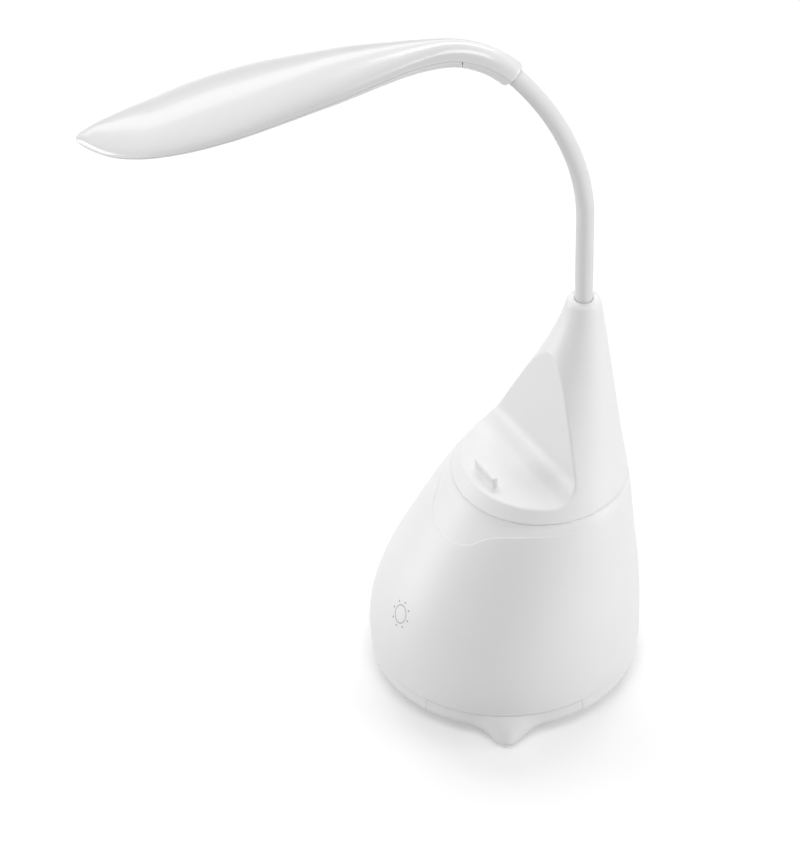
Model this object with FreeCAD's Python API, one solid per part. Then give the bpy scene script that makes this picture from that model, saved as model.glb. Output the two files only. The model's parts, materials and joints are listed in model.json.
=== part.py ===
import FreeCAD, Part
import math
import os
from FreeCAD import Placement, Rotation, Vector

# Desk lamp with a drawer in its base.  Millimetres, +Z up.
# The origin is the middle of the foot, on the table.  -Y is the front, where a phone leans.

# ---------------------------------------------------------------- driving dimensions
BASE_DIA = 126.0        # widest diameter of the drop-shaped body
FOOT_DIA = 92.0         # diameter where the rounded bottom meets the table
BODY_H = 195.0          # table to the rim of the cone
TIP_DIA = 15.2          # rim of the cone, round the neck
LEAN = 41.5             # how far the rim stands behind the middle of the foot

# outline of the drop, as shares: height, swell between tip and base, lean
DROP_OUTLINE = (
    (0.041, 0.965, 0.000), (0.082, 1.000, 0.000), (0.154, 1.000, 0.006),
    (0.256, 0.942, 0.078), (0.385, 0.800, 0.227), (0.513, 0.642, 0.405),
    (0.641, 0.432, 0.614), (0.769, 0.248, 0.800), (0.897, 0.090, 0.947),
    (0.974, 0.017, 0.997),
)

SHELL_T = 2.4           # wall of the bowl and the base pan
FIT = 0.2               # gap between parts that slip into each other
RUN = 0.4               # running gap at the sides of the drawer

# foot and base pan
PAD_T = 1.0
PAD_DIA = 94.0
FLOOR_T = 2.0
SEAM_H = 18.0           # height of the base slice that holds the drawer
SEAM_GAP = 0.6          # groove between the base slice and the bowl
SEAM_DEPTH = 0.6

# drawer
DRAWER_AZ = 58.0        # the drawer opens this many degrees from the front, towards +X
DRAWER_W = 72.0
DRAWER_BACK = 38.0      # reach of the tray behind the middle of the foot
DRAWER_TRAVEL = 45.0
TRAY_T = 1.8
TRAY_CORNER = 5.0
TRAY_REST = 0.2         # gap under the tray
CHANNEL_T = 2.0
PULL_REACH = 69.0       # tip of the pull, from the middle of the foot
PULL_Z = 7.0
PULL_TIP_R = 6.6        # fullness of the rounded tip
PULL_NECK = 6.5         # tip to the waist of the pull
PULL_ROOT = 14.0        # tip to the root of the flare
PULL_FLARE_R = 15.0
STOP_W = 14.0
STOP_T = 2.4
STOP_DIP = 2.2

# deck over the drawer, and what stands on it
DECK_T = 2.0
POST_DIA = 7.0
SCREW_DIA = 3.0
HEAD_DIA = 5.6
HEAD_H = 1.8
PAN_SCREW_U = 12.0
PAN_SCREW_V = 42.8
BOWL_SCREW_U = 25.0
BOWL_SCREW_V = 50.5
BOWL_POST_H = 12.0
DECK_POST_H = 6.0
WEIGHT_DIA = 80.0
WEIGHT_BORE = 16.0
WEIGHT_T = 8.0
WEIGHT_SCREW_R = 28.0
WEIGHT_HEAD_DIA = 9.6
CELL_DIA = 18.4
CELL_L = 65.0
CELL_Y = 4.0
CRADLE_T = 1.5
CRADLE_H = 13.0
CONTACT_T = 0.6
BOARD_X = 50.0
BOARD_Y = 23.0
BOARD_T = 1.6
BOARD_Z = 36.0
BOARD_BACK = 58.0
BOARD_POST_X = 20.0
BOARD_POST_IN = 4.5
BOARD_SCREW_L = 6.0
PORT_W = 9.0
PORT_H = 3.2
PORT_L = 7.4
PORT_SINK = 0.8         # the port's mouth lies this far inside the skin
PORT_WALL = 0.5
TONGUE_T = 0.7
CHIP_W = 8.0            # parts on the control board
CHIP_T = 1.6
COIL_DIA = 6.0
COIL_H = 4.0
CAN_DIA = 5.0
CAN_H = 7.0
JACK_W = 12.0
JACK_L = 4.6
JACK_H = 5.0
PART_X = 11.0
PART_IN = 8.0           # front edge of the board to the middle of coil and can
TOUCH_Z = 51.0
TOUCH_DIA = 26.0
TOUCH_T = 0.8

# band between bowl and cone
RING_H = 105.6          # lower rim of the cone
BAND_H = 4.0            # height of the groove at the back and the sides
CONE_T = 2.8            # wall of the cone
SCOOP_DROP = 13.4       # how far the scoop falls below the side groove
SCOOP_BACK = 30.0       # length of the scoop's slope
WEB_T = 2.4
WEB_DROP = 3.4          # web below the cone's rim
WIRE_HOLE = 12.0        # hole in the web for the leads
WIRE_IN = 10.0          # the hole's middle, behind the foot of the back rest

# cradle for a phone
LEDGE_RISE = 6.4        # floor of the cradle above the cone's lower rim
LEDGE_T = 2.6
LEDGE_DEPTH = 34.1      # front edge of the floor to the foot of the back rest
BACK_TOP_DROP = 25.0    # the back rest runs out of the skin this far below the cone's rim
CRADLE_R = 9.0          # round between floor and back rest
LIP_W = 17.0
LIP_IN = 6.9            # front edge of the floor to the middle of the lip
LIP_T = 2.4
LIP_H = 6.0
CONE_SCREW_X = 14.0
CONE_SCREW_Y = 4.0
RIM_R = 1.8             # rounded rim round the neck

# gooseneck
NECK_DIA = 8.0
NECK_BORE = 3.4
NECK_AZ = 40.0          # the neck bends this many degrees from the front, towards -X
NECK_SUNK = 12.0        # hose inside the cone
NECK_STRAIGHT = 44.0
NECK_BEND_R = 99.5
NECK_TURN = 47.0
FIRST_JOINT = 12.0      # cone's rim to the first joint
LAST_JOINT = 13.4       # last joint to the end of the bend
LINKS = 4
BALL_DIA = 6.6
BALL_GAP = 0.15
BALL_CUT = 1.8
JOINT_HALF = 0.9        # half the groove between two links
TIP_LEN = 8.0           # hose inside the head
NIPPLE_DIA = 5.0
NUT_AF = 8.0
NUT_H = 3.2
WASHER_DIA = 12.0
WASHER_T = 0.8
CONE_SOLID = 22.0       # solid tip of the cone
LEAD_DIA = 1.4
LEAD_PAIR_DIA = 2.2
LEAD_BEND_R = 6.0

# head
CREST_R = 34.0
CREST_TO = -12.2        # slope at the end of the crest, degrees
SHOULDER_R = 118.0
DROOP = -22.4           # slope of the blade
BLADE = 113.5           # straight stretch of the blade
TIP_R = 173.4
TIP_SLOPE = -8.9
HEAD_HALF_W = 28.0
HEAD_UP = 8.6           # crown above the parting line
HEAD_DOWN = 5.0         # belly below the parting line
# outline of the head, as shares: length, half width, crown, belly
HEAD_OUTLINE = (
    (0.000, 0.208, 0.702, 1.220), (0.040, 0.208, 0.705, 1.228), (0.080, 0.208, 0.708, 1.230),
    (0.126, 0.227, 0.709, 1.185), (0.172, 0.281, 0.709, 1.120), (0.212, 0.350, 0.720, 1.078),
    (0.254, 0.437, 0.780, 1.040), (0.310, 0.558, 0.880, 1.016), (0.369, 0.684, 0.953, 1.000),
    (0.426, 0.770, 1.000, 1.002), (0.484, 0.855, 1.000, 1.000),
    (0.613, 1.000, 0.970, 0.960), (0.728, 0.979, 0.912, 0.920), (0.833, 0.809, 0.794, 0.800),
    (0.920, 0.530, 0.618, 0.600), (0.972, 0.248, 0.412, 0.360), (1.000, 0.060, 0.130, 0.140),
)
HEAD_T = 1.6            # wall of the head
PARTING = 0.1           # gap between the upper and the lower half
COVER_LEN = 23.0        # cover over the end of the neck
COVER_GAP = 0.15
LIGHT_START = 9.0       # lit window, measured along the blade
LIGHT_END = 108.0
LEDGE_IN = 5.0          # window pocket inside the head's edge
WINDOW_IN = 7.0
BOARD_IN = 4.0
POCKET_DEPTH = 2.4
DIFFUSER_T = 1.2
DIFFUSER_DROP = 3.6
LED_BOARD_T = 1.0
LED_L = 3.5
LED_W = 2.8
LED_H = 0.8
LED_ROWS = (-9.0, 9.0)
LEDS = 12
LED_FIRST = 24.0
LED_PITCH = 6.4
HEAD_SCREWS = (16.8, 53.8, 98.2)
HEAD_POST_DIA = 5.0
LED_SCREW_DIA = 1.6
LED_SCREW_IN = 3.0      # screw's reach into the post
LED_HEAD_DIA = 3.8
LED_HEAD_H = 1.0

Z = Vector(0, 0, 1)
TOP_HALF = 1
BOTTOM_HALF = -1


# ---------------------------------------------------------------- small helpers
def box(x0, x1, y0, y1, z0, z1):
    return Part.makeBox(x1 - x0, y1 - y0, z1 - z0, Vector(x0, y0, z0))


def rod(dia, z0, z1, x=0.0, y=0.0):
    return Part.makeCylinder(dia / 2, z1 - z0, Vector(x, y, z0))


def joined(shapes):
    first, rest = shapes[0], shapes[1:]
    return first.fuse(rest).removeSplitter() if rest else first


def turned(shape, degrees):
    out = shape.copy()
    out.rotate(Vector(0, 0, 0), Z, degrees)
    return out


def plate(points, z0, height):
    outline = Part.makePolygon(points + points[:1])
    outline.translate(Vector(0, 0, z0))
    return Part.Face(outline).extrude(Vector(0, 0, height))


def screw(x, y, head_z, length, up=True):
    """Pan head screw; its head's outer face lies at head_z and the shank runs up or down."""
    way = 1 if up else -1
    head = Part.makeCylinder(HEAD_DIA / 2, HEAD_H, Vector(x, y, head_z), Vector(0, 0, way))
    shank = Part.makeCylinder(SCREW_DIA / 2, length, Vector(x, y, head_z), Vector(0, 0, way))
    return head.fuse(shank)


def group(shapes):
    return Part.makeCompound(shapes)


# ---------------------------------------------------------------- the drop
def drop_radius(share):
    return TIP_DIA / 2 + (BASE_DIA - TIP_DIA) / 2 * share


def drop(inset, z0, z1):
    """The body's outline, drawn in by inset, between two heights."""
    rows = [(0.0, FOOT_DIA / 2, 0.0)]
    rows += [(h * BODY_H, drop_radius(swell), lean * LEAN) for h, swell, lean in DROP_OUTLINE]
    rows += [(BODY_H, TIP_DIA / 2, LEAN)]
    rings = []
    for z, r, y in rows:
        rings.append(Part.Wire(Part.Circle(Vector(0, y, z), Z, r - inset).toShape()))
    solid = Part.makeLoft(rings, True, False)
    return solid.common(box(-BASE_DIA, BASE_DIA, -BASE_DIA, BASE_DIA + LEAN, z0, z1))


def skin_y(z, way):
    """Where the skin stands at a height, in the lamp's middle plane: way -1 is the front, 1 the back."""
    far = way * (BASE_DIA + LEAN)
    slice_ = drop(0, z - 0.01, z)
    return far - way * slice_.distToShape(Part.Vertex(Vector(0, far, z)))[0]


def drawer_frame(shape):
    """From the drawer's own axes (X = pulling direction) to the lamp's."""
    return turned(shape, DRAWER_AZ - 90)


# ---------------------------------------------------------------- base
PAN_TOP = SEAM_H
TRAY_Z0 = PAD_T + FLOOR_T + TRAY_REST
TRAY_Z1 = SEAM_H - SEAM_GAP
DECK_Z = SEAM_H
DECK_TOP = DECK_Z + DECK_T
CHANNEL_W = DRAWER_W + 2 * RUN
OUT = BASE_DIA          # beyond the body


def corners(u, v):
    return [(a * u, b * v) for a in (-1, 1) for b in (-1, 1)]


def foot_pad():
    return rod(PAD_DIA, 0, PAD_T)


def base_pan():
    floor_z = PAD_T + FLOOR_T
    body = drop(0, PAD_T, PAN_TOP).cut(drop(SHELL_T, floor_z, PAN_TOP))
    half = CHANNEL_W / 2
    back = DRAWER_BACK + RUN
    wall = box(-back - CHANNEL_T, OUT, -half - CHANNEL_T, half + CHANNEL_T, floor_z, PAN_TOP)
    posts = [rod(POST_DIA, floor_z, PAN_TOP, u, v) for u, v in corners(PAN_SCREW_U, PAN_SCREW_V)]
    inner = [drawer_frame(s) for s in [wall] + posts]
    inner = joined(inner).common(drop(0, floor_z, PAN_TOP))
    pan = body.fuse(inner)
    pan = pan.cut(drawer_frame(box(-back, OUT, -half, half, floor_z, PAN_TOP)))
    for u, v in corners(PAN_SCREW_U, PAN_SCREW_V):
        pan = pan.cut(drawer_frame(rod(SCREW_DIA + 2 * FIT, 0, PAN_TOP, u, v)))
        pan = pan.cut(drawer_frame(rod(HEAD_DIA + 2 * FIT, 0, PAD_T + HEAD_H + FIT, u, v)))
    groove = drop(0, PAN_TOP - SEAM_GAP, PAN_TOP).cut(drop(SEAM_DEPTH, PAN_TOP - SEAM_GAP, PAN_TOP))
    return pan.cut(groove)


def pull():
    """Rounded pull with a flared root, turned about its own axis."""
    tip = PULL_REACH
    outline = Part.BezierCurve()
    root = Vector(tip - PULL_ROOT, PULL_FLARE_R, 0)
    outline.setPoles([Vector(tip, 0, 0), Vector(tip, PULL_TIP_R, 0), Vector(tip - PULL_NECK, PULL_TIP_R - 1, 0),
                      Vector(tip - PULL_NECK - 1, PULL_TIP_R, 0), root])
    foot = Vector(root.x, 0, 0)
    edges = [
        outline.toShape(),
        Part.LineSegment(root, foot).toShape(),
        Part.LineSegment(foot, Vector(tip, 0, 0)).toShape(),
    ]
    knob = Part.Face(Part.Wire(edges)).revolve(Vector(0, 0, 0), Vector(1, 0, 0), 360)
    knob.translate(Vector(0, 0, PULL_Z))
    return knob.common(box(0, OUT, -OUT, OUT, TRAY_Z0, TRAY_Z1))


def drawer_tray():
    half = DRAWER_W / 2
    block = drawer_frame(box(-DRAWER_BACK, OUT, -half, half, TRAY_Z0, TRAY_Z1))
    tray = drop(0, TRAY_Z0, TRAY_Z1).common(block)
    tray = tray.fuse(drawer_frame(pull()))
    well = box(-DRAWER_BACK + TRAY_T, OUT, -half + TRAY_T, half - TRAY_T, TRAY_Z0 + TRAY_T, PAN_TOP)
    upright = [e for e in well.Edges if abs(e.tangentAt(e.FirstParameter).z) > 0.9]
    well = drawer_frame(well.makeFillet(TRAY_CORNER, upright))
    return tray.cut(well.common(drop(SHELL_T, TRAY_Z0, PAN_TOP))).removeSplitter()


def drawer_deck():
    deck = drop(SHELL_T + FIT, DECK_Z, DECK_TOP)
    solids = [drawer_frame(rod(POST_DIA, DECK_TOP, DECK_TOP + DECK_POST_H, u, v))
              for u, v in corners(PAN_SCREW_U, PAN_SCREW_V)]
    solids += [rod(POST_DIA - 1, DECK_TOP, DECK_TOP + WEIGHT_T, x, y) for x, y in weight_places()]
    solids += [rod(POST_DIA - 1, DECK_TOP, BOARD_Z, x, y) for x, y in board_places()]
    stop_u = DRAWER_TRAVEL - DRAWER_BACK + TRAY_T
    stop = box(stop_u, stop_u + STOP_T, -STOP_W / 2, STOP_W / 2, TRAY_Z1 - STOP_DIP, DECK_Z)
    solids.append(drawer_frame(stop))
    deck = joined([deck] + solids)
    for u, v in corners(PAN_SCREW_U, PAN_SCREW_V):
        deck = deck.cut(drawer_frame(rod(SCREW_DIA, DECK_Z, DECK_TOP + DECK_POST_H, u, v)))
    for u, v in corners(BOWL_SCREW_U, BOWL_SCREW_V):
        deck = deck.cut(drawer_frame(rod(SCREW_DIA + 2 * FIT, DECK_Z, DECK_TOP, u, v)))
    for x, y in weight_places():
        deck = deck.cut(rod(SCREW_DIA, DECK_TOP, DECK_TOP + WEIGHT_T, x, y))
    for x, y in board_places():
        deck = deck.cut(rod(SCREW_DIA, BOARD_Z - BOARD_SCREW_L, BOARD_Z, x, y))
    return deck


def pan_screws():
    return group([drawer_frame(screw(u, v, PAD_T, PAN_TOP + DECK_T + DECK_POST_H - 1 - PAD_T))
                  for u, v in corners(PAN_SCREW_U, PAN_SCREW_V)])


def bowl_screws():
    return group([drawer_frame(screw(u, v, DECK_Z - HEAD_H, HEAD_H + DECK_T + BOWL_POST_H - 2))
                  for u, v in corners(BOWL_SCREW_U, BOWL_SCREW_V)])


# ---------------------------------------------------------------- inside the bowl
WEIGHT_TOP = DECK_TOP + WEIGHT_T


def weight_places():
    return [(WEIGHT_SCREW_R * math.cos(math.radians(a)), WEIGHT_SCREW_R * math.sin(math.radians(a)))
            for a in (90, 210, 330)]


def board_places():
    front = BOARD_BACK - BOARD_Y + BOARD_POST_IN
    back = BOARD_BACK - BOARD_POST_IN
    return [(x, y) for x in (-BOARD_POST_X, BOARD_POST_X) for y in (front, back)]


def counterweight():
    weight = rod(WEIGHT_DIA, DECK_TOP, WEIGHT_TOP).cut(rod(WEIGHT_BORE, DECK_TOP, WEIGHT_TOP))
    for x, y in weight_places():
        weight = weight.cut(rod(POST_DIA - 1 + 2 * FIT, DECK_TOP, WEIGHT_TOP, x, y))
    return weight


def weight_screws():
    return group([rod(WEIGHT_HEAD_DIA, WEIGHT_TOP, WEIGHT_TOP + HEAD_H, x, y)
                  .fuse(rod(SCREW_DIA, DECK_TOP, WEIGHT_TOP, x, y)) for x, y in weight_places()])


def cell_axis_z():
    return WEIGHT_TOP + CRADLE_T + CELL_DIA / 2 + FIT


def lying_rod(dia, half_len):
    rod_x = Part.makeCylinder(dia / 2, 2 * half_len, Vector(-half_len, 0, 0), Vector(1, 0, 0))
    rod_x.translate(Vector(0, CELL_Y, cell_axis_z()))
    return rod_x


def battery_cell():
    return lying_rod(CELL_DIA, CELL_L / 2)


def battery_cradle():
    half_x = CELL_L / 2 + CONTACT_T + 2 * FIT + CRADLE_T
    half_y = CELL_DIA / 2 + FIT + CRADLE_T
    body = box(-half_x, half_x, CELL_Y - half_y, CELL_Y + half_y, WEIGHT_TOP, WEIGHT_TOP + CRADLE_H)
    body = body.cut(lying_rod(CELL_DIA + 2 * FIT, half_x - CRADLE_T))
    width = CELL_DIA / 2 + FIT
    return body.cut(box(-half_x + CRADLE_T, half_x - CRADLE_T, CELL_Y - width, CELL_Y + width,
                        cell_axis_z(), WEIGHT_TOP + CRADLE_H))


def battery_contacts():
    reach = CELL_L / 2 + FIT
    half_y = CELL_DIA / 4
    low = cell_axis_z() - CELL_DIA / 4
    high = cell_axis_z() + CELL_DIA / 4
    return group([box(reach, reach + CONTACT_T, CELL_Y - half_y, CELL_Y + half_y, low, high),
                  box(-reach - CONTACT_T, -reach, CELL_Y - half_y, CELL_Y + half_y, low, high)])


def port_mouth():
    """Where the port's mouth lies: just inside the skin at the back."""
    return skin_y(BOARD_Z + BOARD_T + PORT_H, 1) - PORT_SINK


def control_board():
    board = box(-BOARD_X / 2, BOARD_X / 2, BOARD_BACK - BOARD_Y, BOARD_BACK, BOARD_Z, BOARD_Z + BOARD_T)
    board = board.common(drop(SHELL_T + FIT, BOARD_Z, BOARD_Z + BOARD_T))
    for x, y in board_places():
        board = board.cut(rod(SCREW_DIA + FIT, BOARD_Z, BOARD_Z + BOARD_T, x, y))
    return board


def board_screws():
    return group([rod(HEAD_DIA, BOARD_Z + BOARD_T, BOARD_Z + BOARD_T + HEAD_H, x, y)
                  .fuse(rod(SCREW_DIA, BOARD_Z - BOARD_SCREW_L, BOARD_Z + BOARD_T, x, y))
                  for x, y in board_places()])


def board_parts():
    top = BOARD_Z + BOARD_T
    front = BOARD_BACK - BOARD_Y
    chip_y = front + JACK_L + CHIP_W / 4
    chip = box(-CHIP_W / 2, CHIP_W / 2, chip_y, chip_y + CHIP_W, top, top + CHIP_T)
    coil = rod(COIL_DIA, top, top + COIL_H, PART_X, front + PART_IN)
    can = rod(CAN_DIA, top, top + CAN_H, -PART_X, front + PART_IN)
    jack = box(-JACK_W / 2, JACK_W / 2, front, front + JACK_L, top, top + JACK_H)
    return group([chip, coil, can, jack])


def usb_port():
    mouth = port_mouth()
    low = BOARD_Z + BOARD_T
    shell = box(-PORT_W / 2, PORT_W / 2, mouth - PORT_L, mouth, low, low + PORT_H)
    sides = [e for e in shell.Edges if abs(e.tangentAt(e.FirstParameter).y) > 0.9]
    shell = shell.makeFillet(PORT_H / 2 - 0.05, sides)
    back = mouth - PORT_L + 2 * PORT_WALL
    hollow = box(-PORT_W / 2 + PORT_WALL, PORT_W / 2 - PORT_WALL, back, mouth,
                 low + PORT_WALL, low + PORT_H - PORT_WALL)
    middle = low + PORT_H / 2
    tongue = box(-PORT_W / 4, PORT_W / 4, back, mouth - 2 * PORT_WALL, middle - TONGUE_T / 2,
                 middle + TONGUE_T / 2)
    return shell.cut(hollow).fuse(tongue)


def touch_pad():
    skin = drop(SHELL_T + FIT, TOUCH_Z - TOUCH_DIA, TOUCH_Z + TOUCH_DIA)
    skin = skin.cut(drop(SHELL_T + FIT + TOUCH_T, TOUCH_Z - TOUCH_DIA, TOUCH_Z + TOUCH_DIA))
    probe = Part.makeCylinder(TOUCH_DIA / 2, OUT, Vector(0, 0, TOUCH_Z), Vector(0, -1, 0))
    return skin.common(probe)


# ---------------------------------------------------------------- bowl
RECESS = CONE_T + FIT
BAND_Z = RING_H - BAND_H
LEDGE_Z = RING_H + LEDGE_RISE
LEDGE_FRONT = skin_y(LEDGE_Z, -1)
BACK_Y = LEDGE_FRONT + LEDGE_DEPTH
BACK_TOP_Z = BODY_H - BACK_TOP_DROP
BACK_TOP_Y = skin_y(BACK_TOP_Z, -1)
SPIGOT_TOP = LEDGE_Z - LEDGE_T
WEB_TOP = RING_H - WEB_DROP
WIRE_Y = BACK_Y + WIRE_IN


def band_cutter():
    """Everything above the bowl's wavy edge, seen from the side."""
    low = BAND_Z - SCOOP_DROP
    front = skin_y(low, -1)
    start = Vector(0, -OUT, low)
    foot = Vector(0, front, low)
    slope = Part.BezierCurve()
    slope.setPoles([foot, Vector(0, front + SCOOP_BACK * 0.28, low + SCOOP_DROP * 0.75),
                    Vector(0, front + SCOOP_BACK * 0.45, BAND_Z), Vector(0, front + SCOOP_BACK, BAND_Z)])
    end = Vector(0, OUT, BAND_Z)
    high = BODY_H
    edges = [
        Part.LineSegment(start, foot).toShape(),
        slope.toShape(),
        Part.LineSegment(Vector(0, front + SCOOP_BACK, BAND_Z), end).toShape(),
        Part.LineSegment(end, Vector(0, OUT, high)).toShape(),
        Part.LineSegment(Vector(0, OUT, high), Vector(0, -OUT, high)).toShape(),
        Part.LineSegment(Vector(0, -OUT, high), start).toShape(),
    ]
    face = Part.Face(Part.Wire(edges))
    face.translate(Vector(-OUT, 0, 0))
    return face.extrude(Vector(2 * OUT, 0, 0))


def lower_bowl():
    outer = drop(0, SEAM_H, RING_H)
    core = drop(RECESS, SEAM_H, SPIGOT_TOP)
    bowl = outer.cut(band_cutter()).fuse(core)
    low_band = BAND_Z - SCOOP_DROP - SHELL_T - 2
    bowl = bowl.cut(drop(SHELL_T, SEAM_H, low_band))
    web = drop(RECESS, WEB_TOP - WEB_T, WEB_TOP)
    bowl = bowl.cut(drop(RECESS + SHELL_T, low_band, SPIGOT_TOP)).fuse(web)
    posts = []
    for u, v in corners(BOWL_SCREW_U, BOWL_SCREW_V):
        posts.append(drawer_frame(rod(POST_DIA + 3, DECK_TOP, DECK_TOP + BOWL_POST_H, u, v)))
    bowl = bowl.fuse(joined(posts).common(drop(SHELL_T / 2, SEAM_H, RING_H)))
    for u, v in corners(BOWL_SCREW_U, BOWL_SCREW_V):
        bowl = bowl.cut(drawer_frame(rod(SCREW_DIA, DECK_TOP, DECK_TOP + BOWL_POST_H - 1, u, v)))
    bowl = bowl.cut(rod(WIRE_HOLE, WEB_TOP - WEB_T, WEB_TOP, 0, WIRE_Y))
    for x in (-CONE_SCREW_X, CONE_SCREW_X):
        bowl = bowl.cut(rod(SCREW_DIA + 2 * FIT, WEB_TOP - WEB_T, WEB_TOP, x, CONE_SCREW_Y))
    low = BOARD_Z + BOARD_T
    slot = box(-PORT_W / 2 - FIT, PORT_W / 2 + FIT, BOARD_BACK - 4, OUT, low - FIT, low + PORT_H + FIT)
    sides = [e for e in slot.Edges if abs(e.tangentAt(e.FirstParameter).y) > 0.9]
    return bowl.cut(slot.makeFillet(PORT_H / 2, sides))


# ---------------------------------------------------------------- cone with the phone cradle
def cradle_cutter(grow):
    """Side outline of the cradle, swept across the lamp; grow thickens it for the wall behind."""
    slope = math.atan2(BACK_TOP_Y - BACK_Y, BACK_TOP_Z - LEDGE_Z)
    floor_z = LEDGE_Z - grow * LEDGE_T
    shift = grow * CONE_T / math.cos(slope)
    foot = Vector(0, BACK_Y + shift - (LEDGE_Z - floor_z) * math.tan(slope), floor_z)
    high = BODY_H
    top = Vector(0, BACK_Y + shift + (high - LEDGE_Z) * math.tan(slope), high)
    front = -BASE_DIA
    points = [Vector(0, front, floor_z), foot, top, Vector(0, front, high)]
    solid = Part.Face(Part.makePolygon(points + points[:1])).extrude(Vector(2 * OUT, 0, 0))
    solid.translate(Vector(-OUT, 0, 0))
    corner = [e for e in solid.Edges
              if e.Length > OUT and abs(e.CenterOfMass.y - foot.y) < 0.01
              and abs(e.CenterOfMass.z - floor_z) < 0.01]
    return solid.makeFillet(CRADLE_R, corner)


def lip():
    middle = LEDGE_FRONT + LIP_IN
    bar = box(-LIP_W / 2, LIP_W / 2, middle - LIP_T / 2, middle + LIP_T / 2, LEDGE_Z, LEDGE_Z + LIP_H)
    top = [e for e in bar.Edges if e.CenterOfMass.z > LEDGE_Z + LIP_H - 0.01 and e.Length > LIP_T + 1]
    return bar.makeFillet(LIP_T / 2 - 0.1, top)


def upper_cone():
    top_z = BODY_H - CONE_SOLID
    cone = drop(0, RING_H, BODY_H)
    rim = [e for e in cone.Edges if e.CenterOfMass.z > BODY_H - 0.01]
    cone = cone.makeFillet(RIM_R, rim)
    cavity = drop(CONE_T, RING_H, top_z).cut(cradle_cutter(1))
    cone = cone.cut(cavity).cut(cradle_cutter(0))
    posts = []
    for x in (-CONE_SCREW_X, CONE_SCREW_X):
        posts.append(rod(POST_DIA, WEB_TOP, SPIGOT_TOP + 1, x, CONE_SCREW_Y))
    cone = joined([cone, lip()] + posts)
    for x in (-CONE_SCREW_X, CONE_SCREW_X):
        cone = cone.cut(rod(SCREW_DIA, WEB_TOP, SPIGOT_TOP, x, CONE_SCREW_Y))
    cone = cone.cut(rod(NECK_DIA + FIT, BODY_H - NECK_SUNK, BODY_H, 0, LEAN))
    return cone.cut(rod(NIPPLE_DIA + 2 * FIT, top_z, BODY_H, 0, LEAN)).removeSplitter()


def cone_screws():
    head_z = WEB_TOP - WEB_T - HEAD_H
    length = HEAD_H + WEB_T + SPIGOT_TOP - WEB_TOP - 1
    return group([screw(x, CONE_SCREW_Y, head_z, length) for x in (-CONE_SCREW_X, CONE_SCREW_X)])


# ---------------------------------------------------------------- paths in the neck's own plane
class Spine:
    """A line in the XZ plane made of straight runs and arcs: (length, radius, turn)."""

    def __init__(self, x, z, slope, runs):
        self.start = (x, z, slope)
        self.runs = runs
        self.length = sum(run[0] for run in runs)

    def at(self, s):
        """Point and slope in degrees at a distance along the line."""
        x, z, slope = self.start
        left = s
        for i, (length, radius, turn) in enumerate(self.runs):
            step = left if (left <= length or i == len(self.runs) - 1) else length
            a0 = math.radians(slope)
            if radius:
                a1 = a0 + turn * step / radius
                x += turn * radius * (math.sin(a1) - math.sin(a0))
                z -= turn * radius * (math.cos(a1) - math.cos(a0))
                slope = math.degrees(a1)
            else:
                x += step * math.cos(a0)
                z += step * math.sin(a0)
            left -= step
            if left <= 0:
                break
        return Vector(x, 0, z), slope

    def along(self, s):
        slope = math.radians(self.at(s)[1])
        return Vector(math.cos(slope), 0, math.sin(slope))

    def normal(self, s):
        slope = math.radians(self.at(s)[1])
        return Vector(-math.sin(slope), 0, math.cos(slope))

    def stretches(self, s0, s1):
        """The straight runs and arcs between two distances: (from, to, radius, turn)."""
        out = []
        reach = 0.0
        for length, radius, turn in self.runs:
            low, high = max(reach, s0), min(reach + length, s1)
            if high - low > 1e-6:
                out.append((low, high, radius, turn))
            reach += length
        return out

    def tube(self, s0, s1, dia):
        """Round bar along the line: a cylinder for each run and a piece of torus for each arc."""
        bars = []
        for low, high, radius, turn in self.stretches(s0, s1):
            at, way = self.at(low)[0], self.along(low)
            if radius:
                disc = Part.Face(Part.Wire(Part.Circle(at, way, dia / 2).toShape()))
                centre = at + self.normal(low) * (turn * radius)
                angle = -turn * math.degrees((high - low) / radius)
                bars.append(disc.revolve(centre, Vector(0, 1, 0), angle))
            else:
                bars.append(Part.makeCylinder(dia / 2, high - low, at, way))
        return joined(bars)


def neck_spine():
    arc = math.radians(NECK_TURN) * NECK_BEND_R
    return Spine(0, BODY_H - NECK_SUNK, 90, [(NECK_SUNK + NECK_STRAIGHT, 0, 0), (arc, NECK_BEND_R, -1)])


NECK = neck_spine()
ROOT_S = NECK_SUNK      # where the neck leaves the cone, along its spine
LINK = (NECK.length - ROOT_S - FIRST_JOINT - LAST_JOINT) / LINKS


def head_spine():
    at, slope = NECK.at(NECK.length)
    crest = math.radians(slope - CREST_TO) * CREST_R
    shoulder = math.radians(CREST_TO - DROOP) * SHOULDER_R
    tip = math.radians(TIP_SLOPE - DROOP) * TIP_R
    return Spine(at.x, at.z, slope, [(crest, CREST_R, -1), (shoulder, SHOULDER_R, -1),
                                     (BLADE, 0, 0), (tip, TIP_R, 1)])


HEAD = head_spine()
BLADE_S = HEAD.runs[0][0] + HEAD.runs[1][0]


def neck_frame(shape):
    """From the neck's plane (X = the way it bends) to the lamp's axes."""
    out = turned(shape, -90 - NECK_AZ)
    out.translate(Vector(0, LEAN, 0))
    return out


# ---------------------------------------------------------------- gooseneck
def joint_s(i):
    return ROOT_S + FIRST_JOINT + i * LINK


def ball(s):
    at = NECK.at(s)[0]
    sphere = Part.makeSphere(BALL_DIA / 2, at)
    way = NECK.along(s)
    cut = Part.makeCylinder(BALL_DIA, BALL_DIA, at + way * BALL_CUT, way)
    return sphere.cut(cut)


def cup(s):
    return Part.makeSphere(BALL_DIA / 2 + BALL_GAP, NECK.at(s)[0])


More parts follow.
